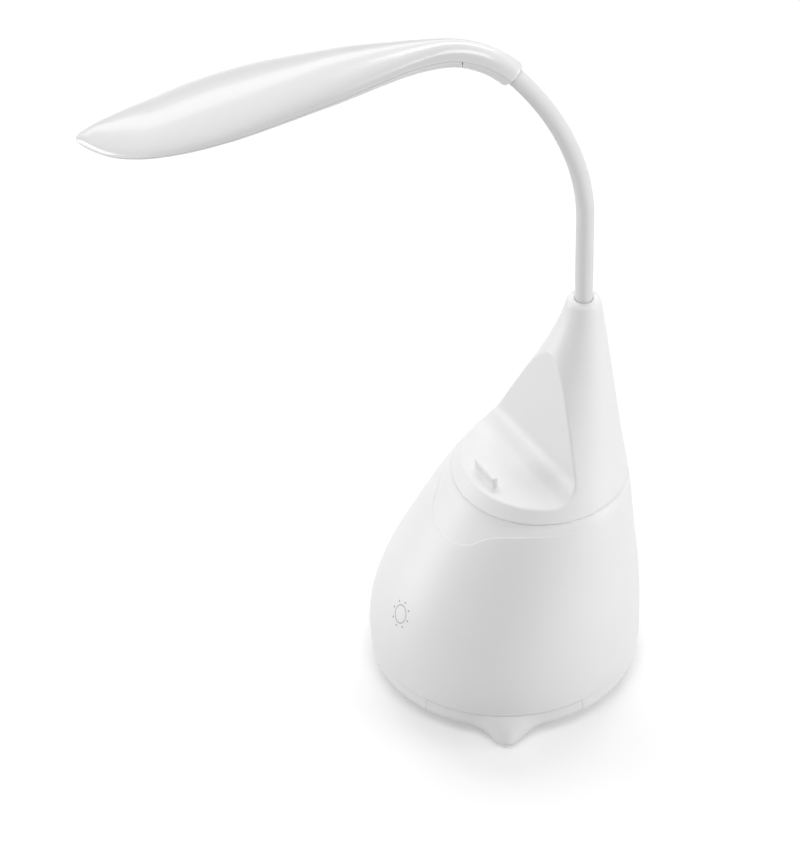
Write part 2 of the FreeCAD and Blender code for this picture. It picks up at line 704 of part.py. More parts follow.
def hose(s0, s1, cup_at=None, ball_at=None):
    """A stretch of hose, with a cup at its lower end and a ball at its upper end."""
    body = NECK.tube(s0, s1, NECK_DIA)
    bore_end = s1
    if ball_at is not None:
        body = body.fuse(ball(ball_at))
        bore_end = ball_at + BALL_CUT + BALL_GAP
    if cup_at is not None:
        body = body.cut(cup(cup_at))
    return body.cut(NECK.tube(s0, bore_end, NECK_BORE))


def neck_root():
    return neck_frame(hose(0, joint_s(0) - JOINT_HALF, ball_at=joint_s(0)))


def neck_link(i):
    return neck_frame(hose(joint_s(i) + JOINT_HALF, joint_s(i + 1) - JOINT_HALF,
                           cup_at=joint_s(i), ball_at=joint_s(i + 1)))


def neck_tip():
    start = joint_s(LINKS)
    piece = hose(start + JOINT_HALF, NECK.length, cup_at=start)
    at, way = NECK.at(NECK.length)[0], NECK.along(NECK.length)
    stub = Part.makeCylinder(NECK_DIA / 2, TIP_LEN, at, way)
    stub = stub.cut(Part.makeCylinder(NECK_BORE / 2, TIP_LEN, at, way))
    return neck_frame(piece.fuse(stub).removeSplitter())


def neck_nipple():
    low = BODY_H - CONE_SOLID - WASHER_T - NUT_H - 2
    nipple = rod(NIPPLE_DIA, low, BODY_H - NECK_SUNK, 0, LEAN)
    return nipple.cut(rod(NECK_BORE - 1, low, BODY_H - NECK_SUNK, 0, LEAN))


def neck_washer():
    top = BODY_H - CONE_SOLID
    return rod(WASHER_DIA, top - WASHER_T, top, 0, LEAN).cut(
        rod(NIPPLE_DIA + FIT, top - WASHER_T, top, 0, LEAN))


def neck_nut():
    top = BODY_H - CONE_SOLID - WASHER_T
    reach = NUT_AF / math.sqrt(3)
    points = [Vector(reach * math.cos(math.radians(60 * k)), LEAN + reach * math.sin(math.radians(60 * k)), 0)
              for k in range(6)]
    return plate(points, top - NUT_H, NUT_H).cut(rod(NIPPLE_DIA + FIT, top - NUT_H, top, 0, LEAN))


def lead_segment(i):
    """Pair of leads inside one stretch of the neck."""
    s0 = 0 if i == 0 else joint_s(i - 1) + JOINT_HALF
    s1 = joint_s(i) - JOINT_HALF if i <= LINKS else NECK.length
    return neck_frame(NECK.tube(s0, s1, LEAD_DIA))


def cone_leads():
    """Leads from the control board's socket up to the neck's nipple."""
    top = BODY_H - CONE_SOLID - WASHER_T - NUT_H - 2
    low = BOARD_Z + BOARD_T + JACK_H / 2
    points = [Vector(0, BOARD_BACK - BOARD_Y, low), Vector(0, WIRE_Y, low), Vector(0, WIRE_Y, LEDGE_Z),
              Vector(0, LEAN, top - 3 * LEAD_BEND_R), Vector(0, LEAN, top)]
    return rounded_tube(points, LEAD_PAIR_DIA, LEAD_BEND_R)


def rounded_tube(points, dia, radius):
    """Tube along straight runs joined by tangent arcs."""
    edges = []
    start = points[0]
    for before, corner, after in zip(points, points[1:], points[2:]):
        u = (before - corner).normalize()
        v = (after - corner).normalize()
        half = u.getAngle(v) / 2
        back = radius / math.tan(half)
        p, q = corner + u * back, corner + v * back
        bis = (u + v).normalize()
        mid = corner + bis * (radius / math.sin(half) - radius)
        edges.append(Part.LineSegment(start, p).toShape())
        edges.append(Part.Arc(p, mid, q).toShape())
        start = q
    edges.append(Part.LineSegment(start, points[-1]).toShape())
    path = Part.Wire(edges)
    ring = Part.Wire(Part.Circle(points[0], (points[1] - points[0]).normalize(), dia / 2).toShape())
    return path.makePipeShell([ring], True, False)


# ---------------------------------------------------------------- head
def half_section(s, a, b, side, past):
    """Half of the head's cross-section: an elliptic arc that ends on the parting line or past it."""
    n = HEAD.normal(s) * side
    at = HEAD.at(s)[0]
    if side == BOTTOM_HALF:
        at += n * PARTING
    y = Vector(0, 1, 0)
    a = max(a, b + 0.02)
    ellipse = Part.Ellipse(at + y * a, at + n * b, at)
    arc = Part.ArcOfEllipse(ellipse, 0, math.pi).toShape()
    left, right = at - y * a, at + y * a
    if not past:
        return Part.Wire([arc, Part.LineSegment(left, right).toShape()])
    low_left, low_right = left - n * past, right - n * past
    strip = [Part.LineSegment(p, q).toShape()
             for p, q in ((left, low_left), (low_left, low_right), (low_right, right))]
    return Part.Wire([arc] + strip)


def head_size(share):
    """Half width, crown and belly at a share of the head's length."""
    rows = HEAD_OUTLINE
    for low, high in zip(rows, rows[1:]):
        if share <= high[0]:
            t = (share - low[0]) / (high[0] - low[0])
            w, up, down = [low[k] + (high[k] - low[k]) * t for k in (1, 2, 3)]
            return w * HEAD_HALF_W, up * HEAD_UP, down * HEAD_DOWN
    raise ValueError("the head ends at share 1")


def head_half(side, inset, first, last):
    """One half of the head, above or below the parting line, or the hollow in it, drawn in by inset."""
    past = HEAD_T if inset else 0
    shares = [row[0] for row in HEAD_OUTLINE if first < row[0] < last]
    wires = []
    for share in [first] + shares + [last]:
        w, up, down = head_size(share)
        height = up if side == TOP_HALF else down
        wires.append(half_section(share * HEAD.length, w - inset, height - inset, side, past))
    return Part.makeLoft(wires, True, False)


def blade_point(run, across, rise):
    """A point from its distance along the blade, across it and above the parting plane."""
    start = HEAD.at(BLADE_S)[0] + Vector(0, across, 0)
    return start + HEAD.along(BLADE_S) * run + HEAD.normal(BLADE_S) * rise


def leaf(inset, low, high):
    """Flat leaf that follows the head's outline, inset from its edge, between two heights."""
    spread = LEDGE_IN - inset
    first, last = LIGHT_START - spread, LIGHT_END + spread
    side = []
    for k in (0.12, 0.32, 0.55, 0.76, 0.92):
        run = first + (last - first) * k
        width = head_size((BLADE_S + run) / HEAD.length)[0] - inset
        if k in (0.12, 0.92):
            width *= 0.74
        side.append((run, width))
    outline = [(first, 0.0)] + side + [(last, 0.0)] + [(r, -w) for r, w in reversed(side)]
    curve = Part.BSplineCurve()
    curve.interpolate([blade_point(r, w, low) for r, w in outline], PeriodicFlag=True)
    face = Part.Face(Part.Wire(curve.toShape()))
    return face.extrude(HEAD.normal(BLADE_S) * (high - low))


def across_cut(s0, s1):
    """Slab square to the head's spine, from s0 to s1."""
    p, q = HEAD.at(s0)[0], HEAD.at(s1)[0]
    n, m = HEAD.normal(s0), HEAD.normal(s1)
    far = HEAD_HALF_W * 2
    deep = CREST_R * 0.8
    corners_ = [p - n * deep, p + n * far, q + m * far, q - m * deep]
    face = Part.Face(Part.makePolygon(corners_ + corners_[:1]))
    face.translate(Vector(0, -far, 0))
    return face.extrude(Vector(0, 2 * far, 0))


def neck_bore():
    at, way = HEAD.at(0)[0], HEAD.along(0)
    bore = Part.makeCylinder(NECK_DIA / 2 + FIT / 2, TIP_LEN + FIT + 1, at - way, way)
    return bore


def head_posts(top):
    """Screw posts under the crown; they stop on the LED board."""
    posts = []
    for run in HEAD_SCREWS:
        foot = blade_point(run, 0, LED_BOARD_T)
        posts.append(Part.makeCylinder(HEAD_POST_DIA / 2, top, foot, HEAD.normal(BLADE_S)))
    return posts


def head_shell():
    shell = head_half(TOP_HALF, 0, 0, 1)
    cavity = head_half(TOP_HALF, HEAD_T, 0.06, 0.95)
    posts = joined(head_posts(HEAD_UP)).common(head_half(TOP_HALF, HEAD_T / 2, 0.06, 0.95))
    shell = shell.cut(cavity).fuse(posts)
    for run in HEAD_SCREWS:
        foot = blade_point(run, 0, LED_BOARD_T)
        pilot = Part.makeCylinder(LED_SCREW_DIA / 2, LED_SCREW_IN, foot, HEAD.normal(BLADE_S))
        shell = shell.cut(pilot)
    return neck_frame(shell.cut(neck_bore()).removeSplitter())


def belly():
    solid = head_half(BOTTOM_HALF, 0, 0, 1)
    channel = head_half(BOTTOM_HALF, HEAD_T, 0.06, 0.34)
    return solid.cut(channel)


def neck_cover():
    piece = belly().common(across_cut(0, COVER_LEN))
    return neck_frame(piece.cut(neck_bore()).removeSplitter())


def head_bezel():
    piece = belly().cut(across_cut(-1, COVER_LEN + COVER_GAP)).cut(neck_bore())
    piece = piece.cut(leaf(LEDGE_IN, -POCKET_DEPTH, 1)).cut(leaf(WINDOW_IN, -HEAD_DOWN - 2, 1))
    return neck_frame(piece.removeSplitter())


def diffuser():
    flange = leaf(LEDGE_IN + FIT, -POCKET_DEPTH, -POCKET_DEPTH + DIFFUSER_T)
    window = leaf(WINDOW_IN + FIT, -DIFFUSER_DROP, -POCKET_DEPTH)
    return neck_frame(flange.fuse(window).removeSplitter())


def led_board():
    board = leaf(BOARD_IN, 0, LED_BOARD_T)
    for run in HEAD_SCREWS:
        hole = Part.makeCylinder(LED_SCREW_DIA / 2 + FIT, 3 * LED_BOARD_T,
                                 blade_point(run, 0, -LED_BOARD_T), HEAD.normal(BLADE_S))
        board = board.cut(hole)
    return neck_frame(board)


def led_chips():
    chips = []
    for row in LED_ROWS:
        for k in range(LEDS):
            run = LED_FIRST + k * LED_PITCH
            chip = Part.makeBox(LED_L, LED_W, LED_H, Vector(-LED_L / 2, -LED_W / 2, -LED_H))
            chip.rotate(Vector(0, 0, 0), Vector(0, 1, 0), -DROOP)
            chip.translate(blade_point(run, row, 0))
            chips.append(chip)
    return neck_frame(group(chips))


def led_screws():
    n = HEAD.normal(BLADE_S)
    screws = []
    for run in HEAD_SCREWS:
        foot = blade_point(run, 0, 0)
        under = foot - n * LED_HEAD_H
        head = Part.makeCylinder(LED_HEAD_DIA / 2, LED_HEAD_H, under, n)
        shank = Part.makeCylinder(LED_SCREW_DIA / 2, LED_HEAD_H + LED_BOARD_T + LED_SCREW_IN, under, n)
        screws.append(head.fuse(shank))
    return neck_frame(group(screws))


# ---------------------------------------------------------------- write every piece
PIECES = {
    "foot_pad": foot_pad,
    "base_pan": base_pan,
    "drawer_tray": drawer_tray,
    "drawer_deck": drawer_deck,
    "pan_screws": pan_screws,
    "bowl_screws": bowl_screws,
    "counterweight": counterweight,
    "weight_screws": weight_screws,
    "battery_cell": battery_cell,
    "battery_cradle": battery_cradle,
    "battery_contacts": battery_contacts,
    "control_board": control_board,
    "board_parts": board_parts,
    "board_screws": board_screws,
    "usb_port": usb_port,
    "touch_pad": touch_pad,
    "lower_bowl": lower_bowl,
    "upper_cone": upper_cone,
    "cone_screws": cone_screws,
    "cone_leads": cone_leads,
    "neck_nipple": neck_nipple,
    "neck_washer": neck_washer,
    "neck_nut": neck_nut,
    "neck_root": neck_root,
    "neck_tip": neck_tip,
    "head_shell": head_shell,
    "neck_cover": neck_cover,
    "head_bezel": head_bezel,
    "diffuser": diffuser,
    "led_board": led_board,
    "led_chips": led_chips,
    "led_screws": led_screws,
}


def main():
    os.makedirs("parts", exist_ok=True)
    pieces = dict(PIECES)
    for i in range(LINKS):
        pieces["neck_link_%d" % (i + 1)] = lambda i=i: neck_link(i)
    for i in range(LINKS + 2):
        pieces["neck_lead_%d" % i] = lambda i=i: lead_segment(i)
    for name, make in pieces.items():
        shape = make()
        print("%-18s solids %2d  volume %9.1f  valid %s" % (name, len(shape.Solids), shape.Volume, shape.isValid()))
        shape.exportStep("parts/%s.step" % name)
    for i in range(LINKS + 1):
        at, slope = NECK.at(joint_s(i))
        turn = math.radians(-90 - NECK_AZ)
        print("neck joint %d at %.4f %.4f %.4f slope %.3f" % (
            i, at.x * math.cos(turn), LEAN + at.x * math.sin(turn), at.z, slope))


main()
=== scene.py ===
import json
import math

import bpy
from bpy.props import FloatProperty, FloatVectorProperty, IntProperty, PointerProperty
from mathutils import Matrix, Vector


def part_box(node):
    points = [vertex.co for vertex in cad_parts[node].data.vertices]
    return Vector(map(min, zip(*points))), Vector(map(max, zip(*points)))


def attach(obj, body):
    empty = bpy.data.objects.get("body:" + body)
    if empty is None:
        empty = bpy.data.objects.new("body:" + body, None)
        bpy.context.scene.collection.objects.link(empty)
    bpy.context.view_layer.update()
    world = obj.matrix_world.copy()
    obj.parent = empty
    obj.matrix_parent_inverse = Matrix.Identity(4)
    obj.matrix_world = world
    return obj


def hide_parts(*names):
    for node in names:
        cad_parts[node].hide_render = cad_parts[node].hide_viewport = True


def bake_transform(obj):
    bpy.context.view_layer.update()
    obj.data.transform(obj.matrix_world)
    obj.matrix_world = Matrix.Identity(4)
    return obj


bl_info = {
    "name": "Desk lamp with a drawer in its base",
    "version": (1, 0, 0),
    "blender": (4, 5, 0),
    "location": "3D View > Sidebar > Lamp",
    "description": "Builds the lamp's shells, neck and head round its packed frame",
    "category": "Object",
}

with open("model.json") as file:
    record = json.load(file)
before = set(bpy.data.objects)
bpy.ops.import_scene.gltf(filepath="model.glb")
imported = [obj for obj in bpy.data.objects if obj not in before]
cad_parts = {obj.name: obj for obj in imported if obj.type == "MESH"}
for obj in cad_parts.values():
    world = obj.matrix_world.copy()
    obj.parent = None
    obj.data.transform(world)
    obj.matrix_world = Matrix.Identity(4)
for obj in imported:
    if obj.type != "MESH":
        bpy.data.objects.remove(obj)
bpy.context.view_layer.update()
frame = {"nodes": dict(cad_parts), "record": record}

MM = 0.001
TINY = 1e-6

# outline of the drop-shaped body, as shares: height, swell between tip and base, lean
DROP_OUTLINE = (
    (0.041, 0.965, 0.0), (0.082, 1.0, 0.0), (0.154, 1.0, 0.006),
    (0.256, 0.942, 0.078), (0.385, 0.8, 0.227), (0.513, 0.642, 0.405),
    (0.641, 0.432, 0.614), (0.769, 0.248, 0.8), (0.897, 0.09, 0.947),
    (0.974, 0.017, 0.997),
)
# outline of the head, as shares: length, half width, crown, belly
HEAD_OUTLINE = (
    (0.0, 0.208, 0.702, 1.22), (0.04, 0.208, 0.705, 1.228), (0.08, 0.208, 0.708, 1.23),
    (0.126, 0.227, 0.709, 1.185), (0.172, 0.281, 0.709, 1.12), (0.212, 0.35, 0.72, 1.078),
    (0.254, 0.437, 0.78, 1.04), (0.31, 0.558, 0.88, 1.016), (0.369, 0.684, 0.953, 1.0),
    (0.426, 0.77, 1.0, 1.002), (0.484, 0.855, 1.0, 1.0),
    (0.613, 1.0, 0.97, 0.96), (0.728, 0.979, 0.912, 0.92), (0.833, 0.809, 0.794, 0.8),
    (0.92, 0.53, 0.618, 0.6), (0.972, 0.248, 0.412, 0.36), (1.0, 0.06, 0.13, 0.14),
)


# ---------------- sizes and colours
def length(name, text, default):
    return FloatProperty(name=name, description=text, default=default * MM, unit="LENGTH", precision=5)


def angle(name, text, default):
    return FloatProperty(name=name, description=text, default=math.radians(default), unit="ROTATION")


def colour(name, text, default):
    return FloatVectorProperty(name=name, description=text, default=default, subtype="COLOR", min=0, max=1)


def power(name, text, default):
    return FloatProperty(name=name, description=text, default=default, unit="POWER")


def factor(name, text, default):
    return FloatProperty(name=name, description=text, default=default, min=0)


class BodySizes(bpy.types.PropertyGroup):
    base_dia: length("Base diameter", "Widest diameter of the drop-shaped body", 126)
    foot_dia: length("Foot diameter", "Diameter where the rounded bottom meets the table", 92)
    body_h: length("Height", "Table to the rim of the cone", 195)
    tip_dia: length("Tip diameter", "Rim of the cone, round the neck", 15.2)
    lean: length("Lean", "How far the rim stands behind the middle of the foot", 41.5)
    shell_t: length("Shell", "Wall of the bowl and the base pan", 2.4)
    pan_low: length("Pan's underside", "Height of the pan's underside over the table", 1)
    floor_t: length("Floor", "Floor of the base pan", 2)
    seam_h: length("Seam height", "Height of the base slice that holds the drawer", 18)
    seam_gap: length("Seam", "Height of the gap between the base slice and the bowl's collar", 0.6)
    seam_line: length("Seam line", "Height of the gap that shows", 0.16)
    ring_h: length("Cone's lower rim", "Height of the cone's lower rim", 105.6)
    band_h: length("Band", "Height of the recessed band at the sides and the back", 4)
    recess: length("Recess", "Depth of the recessed band", 1.2)
    bead: length("Bead", "How far the bowl's lower edge stands out over the seam", 0.12)
    rim_r: length("Rim", "Rounding of the cone's rim, round the neck", 2.2)
    scoop_drop: length("Scoop", "How far the band's lower edge falls at the front", 12.4)
    scoop_back: length("Scoop length", "Length of the scoop's slope", 37.7)
    cone_t: length("Cone's wall", "Wall of the cone", 2.8)
    edge_r: length("Edge", "Rounding of the shells' edges", 0.35)


class CradleSizes(bpy.types.PropertyGroup):
    ledge_rise: length("Floor", "Cradle's floor above the cone's lower rim", 6.4)
    ledge_t: length("Floor's thickness", "Thickness of the cradle's floor", 2.6)
    ledge_depth: length("Depth", "Front edge of the floor to the foot of the back rest", 32.6)
    back_drop: length("Back rest", "Where the back rest ends, below the cone's rim", 25)
    corner_r: length("Corner", "Round between the floor and the back rest", 12)
    lip_w: length("Lip's width", "Width of the lip that holds a phone", 17)
    lip_in: length("Lip's place", "Front edge of the floor to the middle of the lip", 6.9)
    lip_t: length("Lip's thickness", "Thickness of the lip", 2.4)
    lip_h: length("Lip's height", "Height of the lip", 6)
    grain: length("Mesh", "Mesh size of the cone's rounded shell", 0.62)


class DrawerSizes(bpy.types.PropertyGroup):
    turn: angle("Direction", "The drawer opens this far from the front, towards +X", 58)
    width: length("Width", "Width of the drawer", 72)
    back: length("Back", "Reach of the tray behind the middle of the foot", 38)
    wall: length("Wall", "Wall of the tray", 1.8)
    corner_r: length("Corner", "Upright corners inside the tray", 5)
    under: length("Tray's underside", "Height of the tray's underside over the table", 3.2)
    gap: length("Gap", "Gap at the drawer's sides that shows in the front", 0.08)
    run: length("Run", "Running gap behind the front", 0.4)
    channel_t: length("Channel", "Walls beside the drawer", 2)
    pull_reach: length("Pull's reach", "Tip of the pull, from the middle of the foot", 69)
    pull_z: length("Pull's height", "Height of the pull's tip over the table", 5.6)
    pull_half: length("Pull's half width", "Middle of the pull to where its flare ends", 17.4)
    pull_side: length("Pull's place", "Pull beside the middle of the drawer", 1.3)
    pull_under: length("Pull's underside", "Rounding under the pull's tip", 2.4)


class NeckSizes(bpy.types.PropertyGroup):
    dia: length("Diameter", "Outer diameter of the neck's sleeve", 8)
    turn: angle("Direction", "The neck bends this far from the front, towards -X", 40)
    straight: length("Straight", "Upright stretch above the cone's rim", 44)
    bend_r: length("Bend", "Radius of the neck's bend", 99.5)
    bend: angle("Bend's turn", "How far the neck turns over", 47)
    first_joint: length("First joint", "Cone's rim to the first joint", 12)
    last_joint: length("Last joint", "Last joint to the end of the bend", 13.4)
    soft: length("Bending stretch", "Stretch of sleeve that bends each side of a joint", 10)


class HeadSizes(bpy.types.PropertyGroup):
    crest_r: length("Crest", "Radius of the head's crest", 34)
    crest_to: angle("Crest's end", "Slope at the end of the crest", -12.2)
    shoulder_r: length("Shoulder", "Radius of the shoulder behind the blade", 118)
    droop: angle("Droop", "Slope of the blade", -22.4)
    blade: length("Blade", "Straight stretch of the blade", 113.5)
    tip_r: length("Tip", "Radius of the upswept tip", 173.4)
    tip_slope: angle("Tip's slope", "Slope at the end of the tip", -8.9)
    half_w: length("Half width", "Half the head's greatest width", 28)
    crown: length("Crown", "Crown above the parting line", 8.6)
    belly: length("Belly", "Belly below the parting line", 5)
    wall: length("Wall", "Wall of the head", 1.6)
    end_r: length("End", "Rounding of the end that holds the neck", 1.3)
    parting: length("Parting", "Gap between the upper and the lower half", 0.1)
    cover: length("Cover", "Length of the cover over the neck's end", 23)
    cover_gap: length("Cover's gap", "Gap between the cover and the lower half", 0.3)
    light_start: length("Light's start", "Start of the lit window along the blade", 9)
    light_end: length("Light's end", "End of the lit window along the blade", 108)
    window_in: length("Window's edge", "Window inside the head's outline", 7)


class MarkSizes(bpy.types.PropertyGroup):
    height: length("Height", "Middle of the touch mark over the table", 50.4)
    ring_r: length("Ring", "Radius of the mark's ring", 3.98)
    line: length("Line", "Width of the ring's line", 0.42)
    dots_r: length("Circle of dots", "Radius of the circle of dots", 5.75)
    dot_dia: length("Dot", "Diameter of a dot", 0.95)
    dots: IntProperty(name="Dots", description="Number of dots round the ring", default=8, min=3)
    ink_t: length("Ink", "Thickness of the printed ink", 0.03)


class Finish(bpy.types.PropertyGroup):
    satin: colour("Satin white", "Colour of the body's satin plastic", (0.79, 0.79, 0.79))
    gloss: colour("Gloss white", "Colour of the head's gloss plastic", (0.78, 0.78, 0.78))
    sleeve: colour("Sleeve", "Colour of the neck's sleeve", (0.72, 0.72, 0.72))
    ink: colour("Ink", "Colour of the printed touch mark", (0.36, 0.36, 0.36))
    opal: colour("Opal", "Colour of the diffuser", (0.86, 0.86, 0.84))
    foam: colour("Foam", "Colour of the foot pad", (0.55, 0.55, 0.54))


class StageSizes(bpy.types.PropertyGroup):
    azimuth: angle("Azimuth", "The camera stands this far from the front, towards +X", 58)
    elevation: angle("Elevation", "The camera's height angle", 39.2)
    distance: length("Distance", "Camera to the aim", 1600)
    aim_h: length("Aim", "Height of the point that the camera's distance is taken to", 190)
    left_power: power("Left lamp", "Power of the low lamp at the left", 5.2)
    right_power: power("Right lamp", "Power of the lamp at the right", 7)
    front_power: power("Front lamp", "Power of the high lamp over the camera", 10.5)
    back_power: power("Back lamp", "Power of the high lamp behind", 12.5)
    strip_power: power("Strip lamp", "Power of the low strip behind, which shows in the gloss", 4.5)
    world: factor("World", "Strength of the even light all round", 0.26)
    floor: colour("Floor", "Colour of the floor", (0.74, 0.74, 0.74))
    glow: factor("Glow", "Light added to the floor where it is seen", 0.26)


SETTINGS = {
    "lamp_body": BodySizes,
    "lamp_cradle": CradleSizes,
    "lamp_drawer": DrawerSizes,
    "lamp_neck": NeckSizes,
    "lamp_head": HeadSizes,
    "lamp_mark": MarkSizes,
    "lamp_finish": Finish,
    "lamp_stage": StageSizes,
}

FOCAL_PX = 3631.4               # the view's focal length in pixels of an 800 by 857 picture
PICTURE_W, PICTURE_H = 800, 857
PRINCIPAL = (504.45, 337.39)    # where the aim falls in that picture
SENSOR_MM = 36.0

BODY_SEGMENTS = 192
BODY_ROWS, BAND_ROWS, WALL_ROWS = 60, 12, 30        # the bowl's skin, its band and its inner wall
PAN_ROWS, TRAY_ROWS, HOLLOW_ROWS = 24, 30, 20
CONE_ROWS, CAVITY_ROWS = 80, 40
NECK_SEGMENTS = 48
NECK_STEP = 0.8 * MM
HEAD_SEGMENTS = 80
HEAD_RINGS = 90
HEAD_TIP = 2 * MM               # run over which the head's tip closes
THINNEST = 0.02 * MM
QUARTER = [k * math.pi / 10 for k in range(6)]      # a quarter turn in five steps

# the bowl's lower edge: rise in millimetres and inset as a share of the bead
BEAD = ((0.0, 0.6), (0.2, -1.0), (0.9, -0.45))
BEAD_END = 1.8 * MM
# inner poles of the scoop's curve, as shares of its length and its fall
SCOOP_POLES = ((0.32, 0.516), (0.18, 1.0))

FLOOR_R, FLOOR_BORDER = 9.0, 6.0
LAMPS_AIM = (0, 0, 0.13)        # the middle of the lamp


# ---------------- curves
def smooth_rows(rows, share):
    """Values of a table's rows at a share, on a smooth curve through all rows."""
    last = len(rows) - 1
    k = max(i for i in range(last) if rows[i][0] <= share + TINY or i == 0)
    span = rows[k + 1][0] - rows[k][0]
    t = min(max((share - rows[k][0]) / span, 0), 1)

    def slope(i, column):
        """Slope at a row, from the runs on both sides, each weighted with the other's length."""
        runs = [(rows[j + 1][0] - rows[j][0], rows[j + 1][column] - rows[j][column])
                for j in (i - 1, i) if 0 <= j < last]
        if len(runs) == 1:
            return runs[0][1] / runs[0][0]
        (before, rise_in), (after, rise_out) = runs
        return (rise_in / before * after + rise_out / after * before) / (before + after)

    return [(2 * t**3 - 3 * t**2 + 1) * rows[k][c] + (t**3 - 2 * t**2 + t) * span * slope(k, c)
            + (3 * t**2 - 2 * t**3) * rows[k + 1][c] + (t**3 - t**2) * span * slope(k + 1, c)
            for c in range(1, len(rows[0]))]


def bezier(poles, t):
    """Point of a Bezier curve with any number of poles."""
    points = [Vector(p) for p in poles]
    while len(points) > 1:
        points = [a.lerp(b, t) for a, b in zip(points, points[1:])]
    return points[0]


class Drop:
    """The leaning drop: its radius and middle at each height."""

    def __init__(self, body):
        wide, tip = body.base_dia / 2, body.tip_dia / 2
        rows = [(0.0, body.foot_dia / 2, 0.0)]
        rows += [(h * body.body_h, tip + (wide - tip) * s, lean * body.lean) for h, s, lean in DROP_OUTLINE]
        self.rows = rows + [(body.body_h, tip, body.lean)]

    def at(self, z):
        """Radius, and the middle's place behind the foot's, at a height."""
        return smooth_rows(self.rows, z)

    def ring(self, z, inset=0.0):
        radius, y = self.at(z)
        return (0.0, y, z, radius - inset)

    def point(self, turn, z, inset=0.0):
        radius, y = self.at(z)
        return Vector(((radius - inset) * math.cos(turn), y + (radius - inset) * math.sin(turn), z))

    def front(self, z):
        radius, y = self.at(z)
        return y - radius


class Wave:
    """The bowl's wavy upper edge, seen from the side: its height at each y."""

    def __init__(self, body, drop):
        self.level = body.ring_h - body.band_h
        low = self.level - body.scoop_drop
        self.front = drop.front(low)
        self.poles = [(self.front + body.scoop_back * run, low + body.scoop_drop * rise)
                      for run, rise in ((0, 0),) + SCOOP_POLES + ((1, 1),)]

    def height(self, y):
        """Height of the edge at y, by halving the stretch of the curve that holds it."""
        if y <= self.front:
            return self.poles[0][1]
        if y >= self.poles[-1][0]:
            return self.level
        low, high = 0.0, 1.0
        for _ in range(40):
            t = (low + high) / 2
            if bezier(self.poles, t)[0] < y:
                low = t
            else:
                high = t
        return bezier(self.poles, low)[1]

    def on_drop(self, drop, turn):
        """Height where the edge meets the drop's skin, found by halving the error."""
        z = self.level
        for _ in range(60):
            z += 0.5 * (self.height(drop.point(turn, z)[1]) - z)
        return z


def neck_length(neck):
    return neck.straight + neck.bend * neck.bend_r


def neck_runs(neck):
    """The neck above the cone's rim, in its own plane: start x, z, slope and runs."""
    return (0.0, 0.0, math.pi / 2, [(neck.straight, 0, 0), (neck.bend * neck.bend_r, neck.bend_r, -1)])


def head_runs(neck, head):
    x, z, slope = along(neck_runs(neck), neck_length(neck))
    return (x, z, slope, [
        ((slope - head.crest_to) * head.crest_r, head.crest_r, -1),
        ((head.crest_to - head.droop) * head.shoulder_r, head.shoulder_r, -1),
        (head.blade, 0, 0),
        ((head.tip_slope - head.droop) * head.tip_r, head.tip_r, 1),
    ])


def along(path, distance):
    """Place and slope at a distance along straight runs and arcs."""
    x, z, slope, runs = path
    left = distance
    for i, (run, radius, turn) in enumerate(runs):
        step = left if (left <= run or i == len(runs) - 1) else run
        if radius:
            after = slope + turn * step / radius
            x += turn * radius * (math.sin(after) - math.sin(slope))
            z -= turn * radius * (math.cos(after) - math.cos(slope))
            slope = after
        else:
            x += step * math.cos(slope)
            z += step * math.sin(slope)
        left -= step
        if left <= 0:
            break
    return x, z, slope


def path_length(path):
    return sum(run[0] for run in path[3])


def beside(plane, path, distance, across=0.0, rise=0.0):
    """Point across and above a path, at a distance along it."""
    x, z, slope = along(path, distance)
    return plane @ Vector((x - math.sin(slope) * rise, across, z + math.cos(slope) * rise))


def neck_plane(body, neck):
    """From the neck's own plane (X = the way it bends, its origin on the cone's rim) to the lamp's axes."""
    turn = Matrix.Rotation(-math.pi / 2 - neck.turn, 4, "Z")
    return Matrix.Translation((0, body.lean, body.body_h)) @ turn


def drawer_plane(drawer):
    """From the drawer's own axes (X = the way it opens) to the lamp's axes."""
    return Matrix.Rotation(drawer.turn - math.pi / 2, 4, "Z")


# ---------------- modelling
def object_mode():
    if bpy.context.object and bpy.context.object.mode != "OBJECT":
        bpy.ops.object.mode_set(mode="OBJECT")


def deselect():
    object_mode()
    bpy.ops.object.select_all(action="DESELECT")


def pick(piece):
    deselect()
    bpy.context.view_layer.objects.active = piece
    piece.select_set(True)


def edit(piece, action="SELECT"):
    pick(piece)
    bpy.ops.object.mode_set(mode="EDIT")
    bpy.ops.mesh.select_mode(type="VERT")
    bpy.ops.mesh.select_all(action=action)


def named(name):
    piece = bpy.context.object
    piece.name = name
    piece.data.name = name
    return piece


def add(name, operator, **settings):
    """Adds an object with nothing else selected."""
    deselect()
    operator(**settings)
    return named(name)


def settle(piece, place=None):
    """Moves the object's place into its mesh; place is a matrix that it gets first."""
    object_mode()
    if place is not None:
        piece.matrix_world = place @ piece.matrix_world
    pick(piece)
    bpy.ops.object.transform_apply(location=True, rotation=True, scale=True)
    return piece


def outward(piece):
    edit(piece)
    bpy.ops.mesh.remove_doubles(threshold=TINY)
    bpy.ops.mesh.normals_make_consistent(inside=False)
    object_mode()


def finish_modifier(piece, kind, **settings):
    """Adds a modifier with its settings and applies it."""
    pick(piece)
    modifier = piece.modifiers.new(kind.lower(), kind)
    for key, value in settings.items():
        setattr(modifier, key, value)
    bpy.ops.object.modifier_apply(modifier=modifier.name)
    return piece


def combine(piece, tool, operation):
    """Boolean with a tool that is used up."""
    finish_modifier(piece, "BOOLEAN", operation=operation, object=tool, solver="EXACT")
    remove(tool)
    return piece


def cut(piece, tool):
    return combine(piece, tool, "DIFFERENCE")


def remove(piece):
    mesh = piece.data
    bpy.data.objects.remove(piece)
    if mesh.users == 0:
        bpy.data.meshes.remove(mesh)


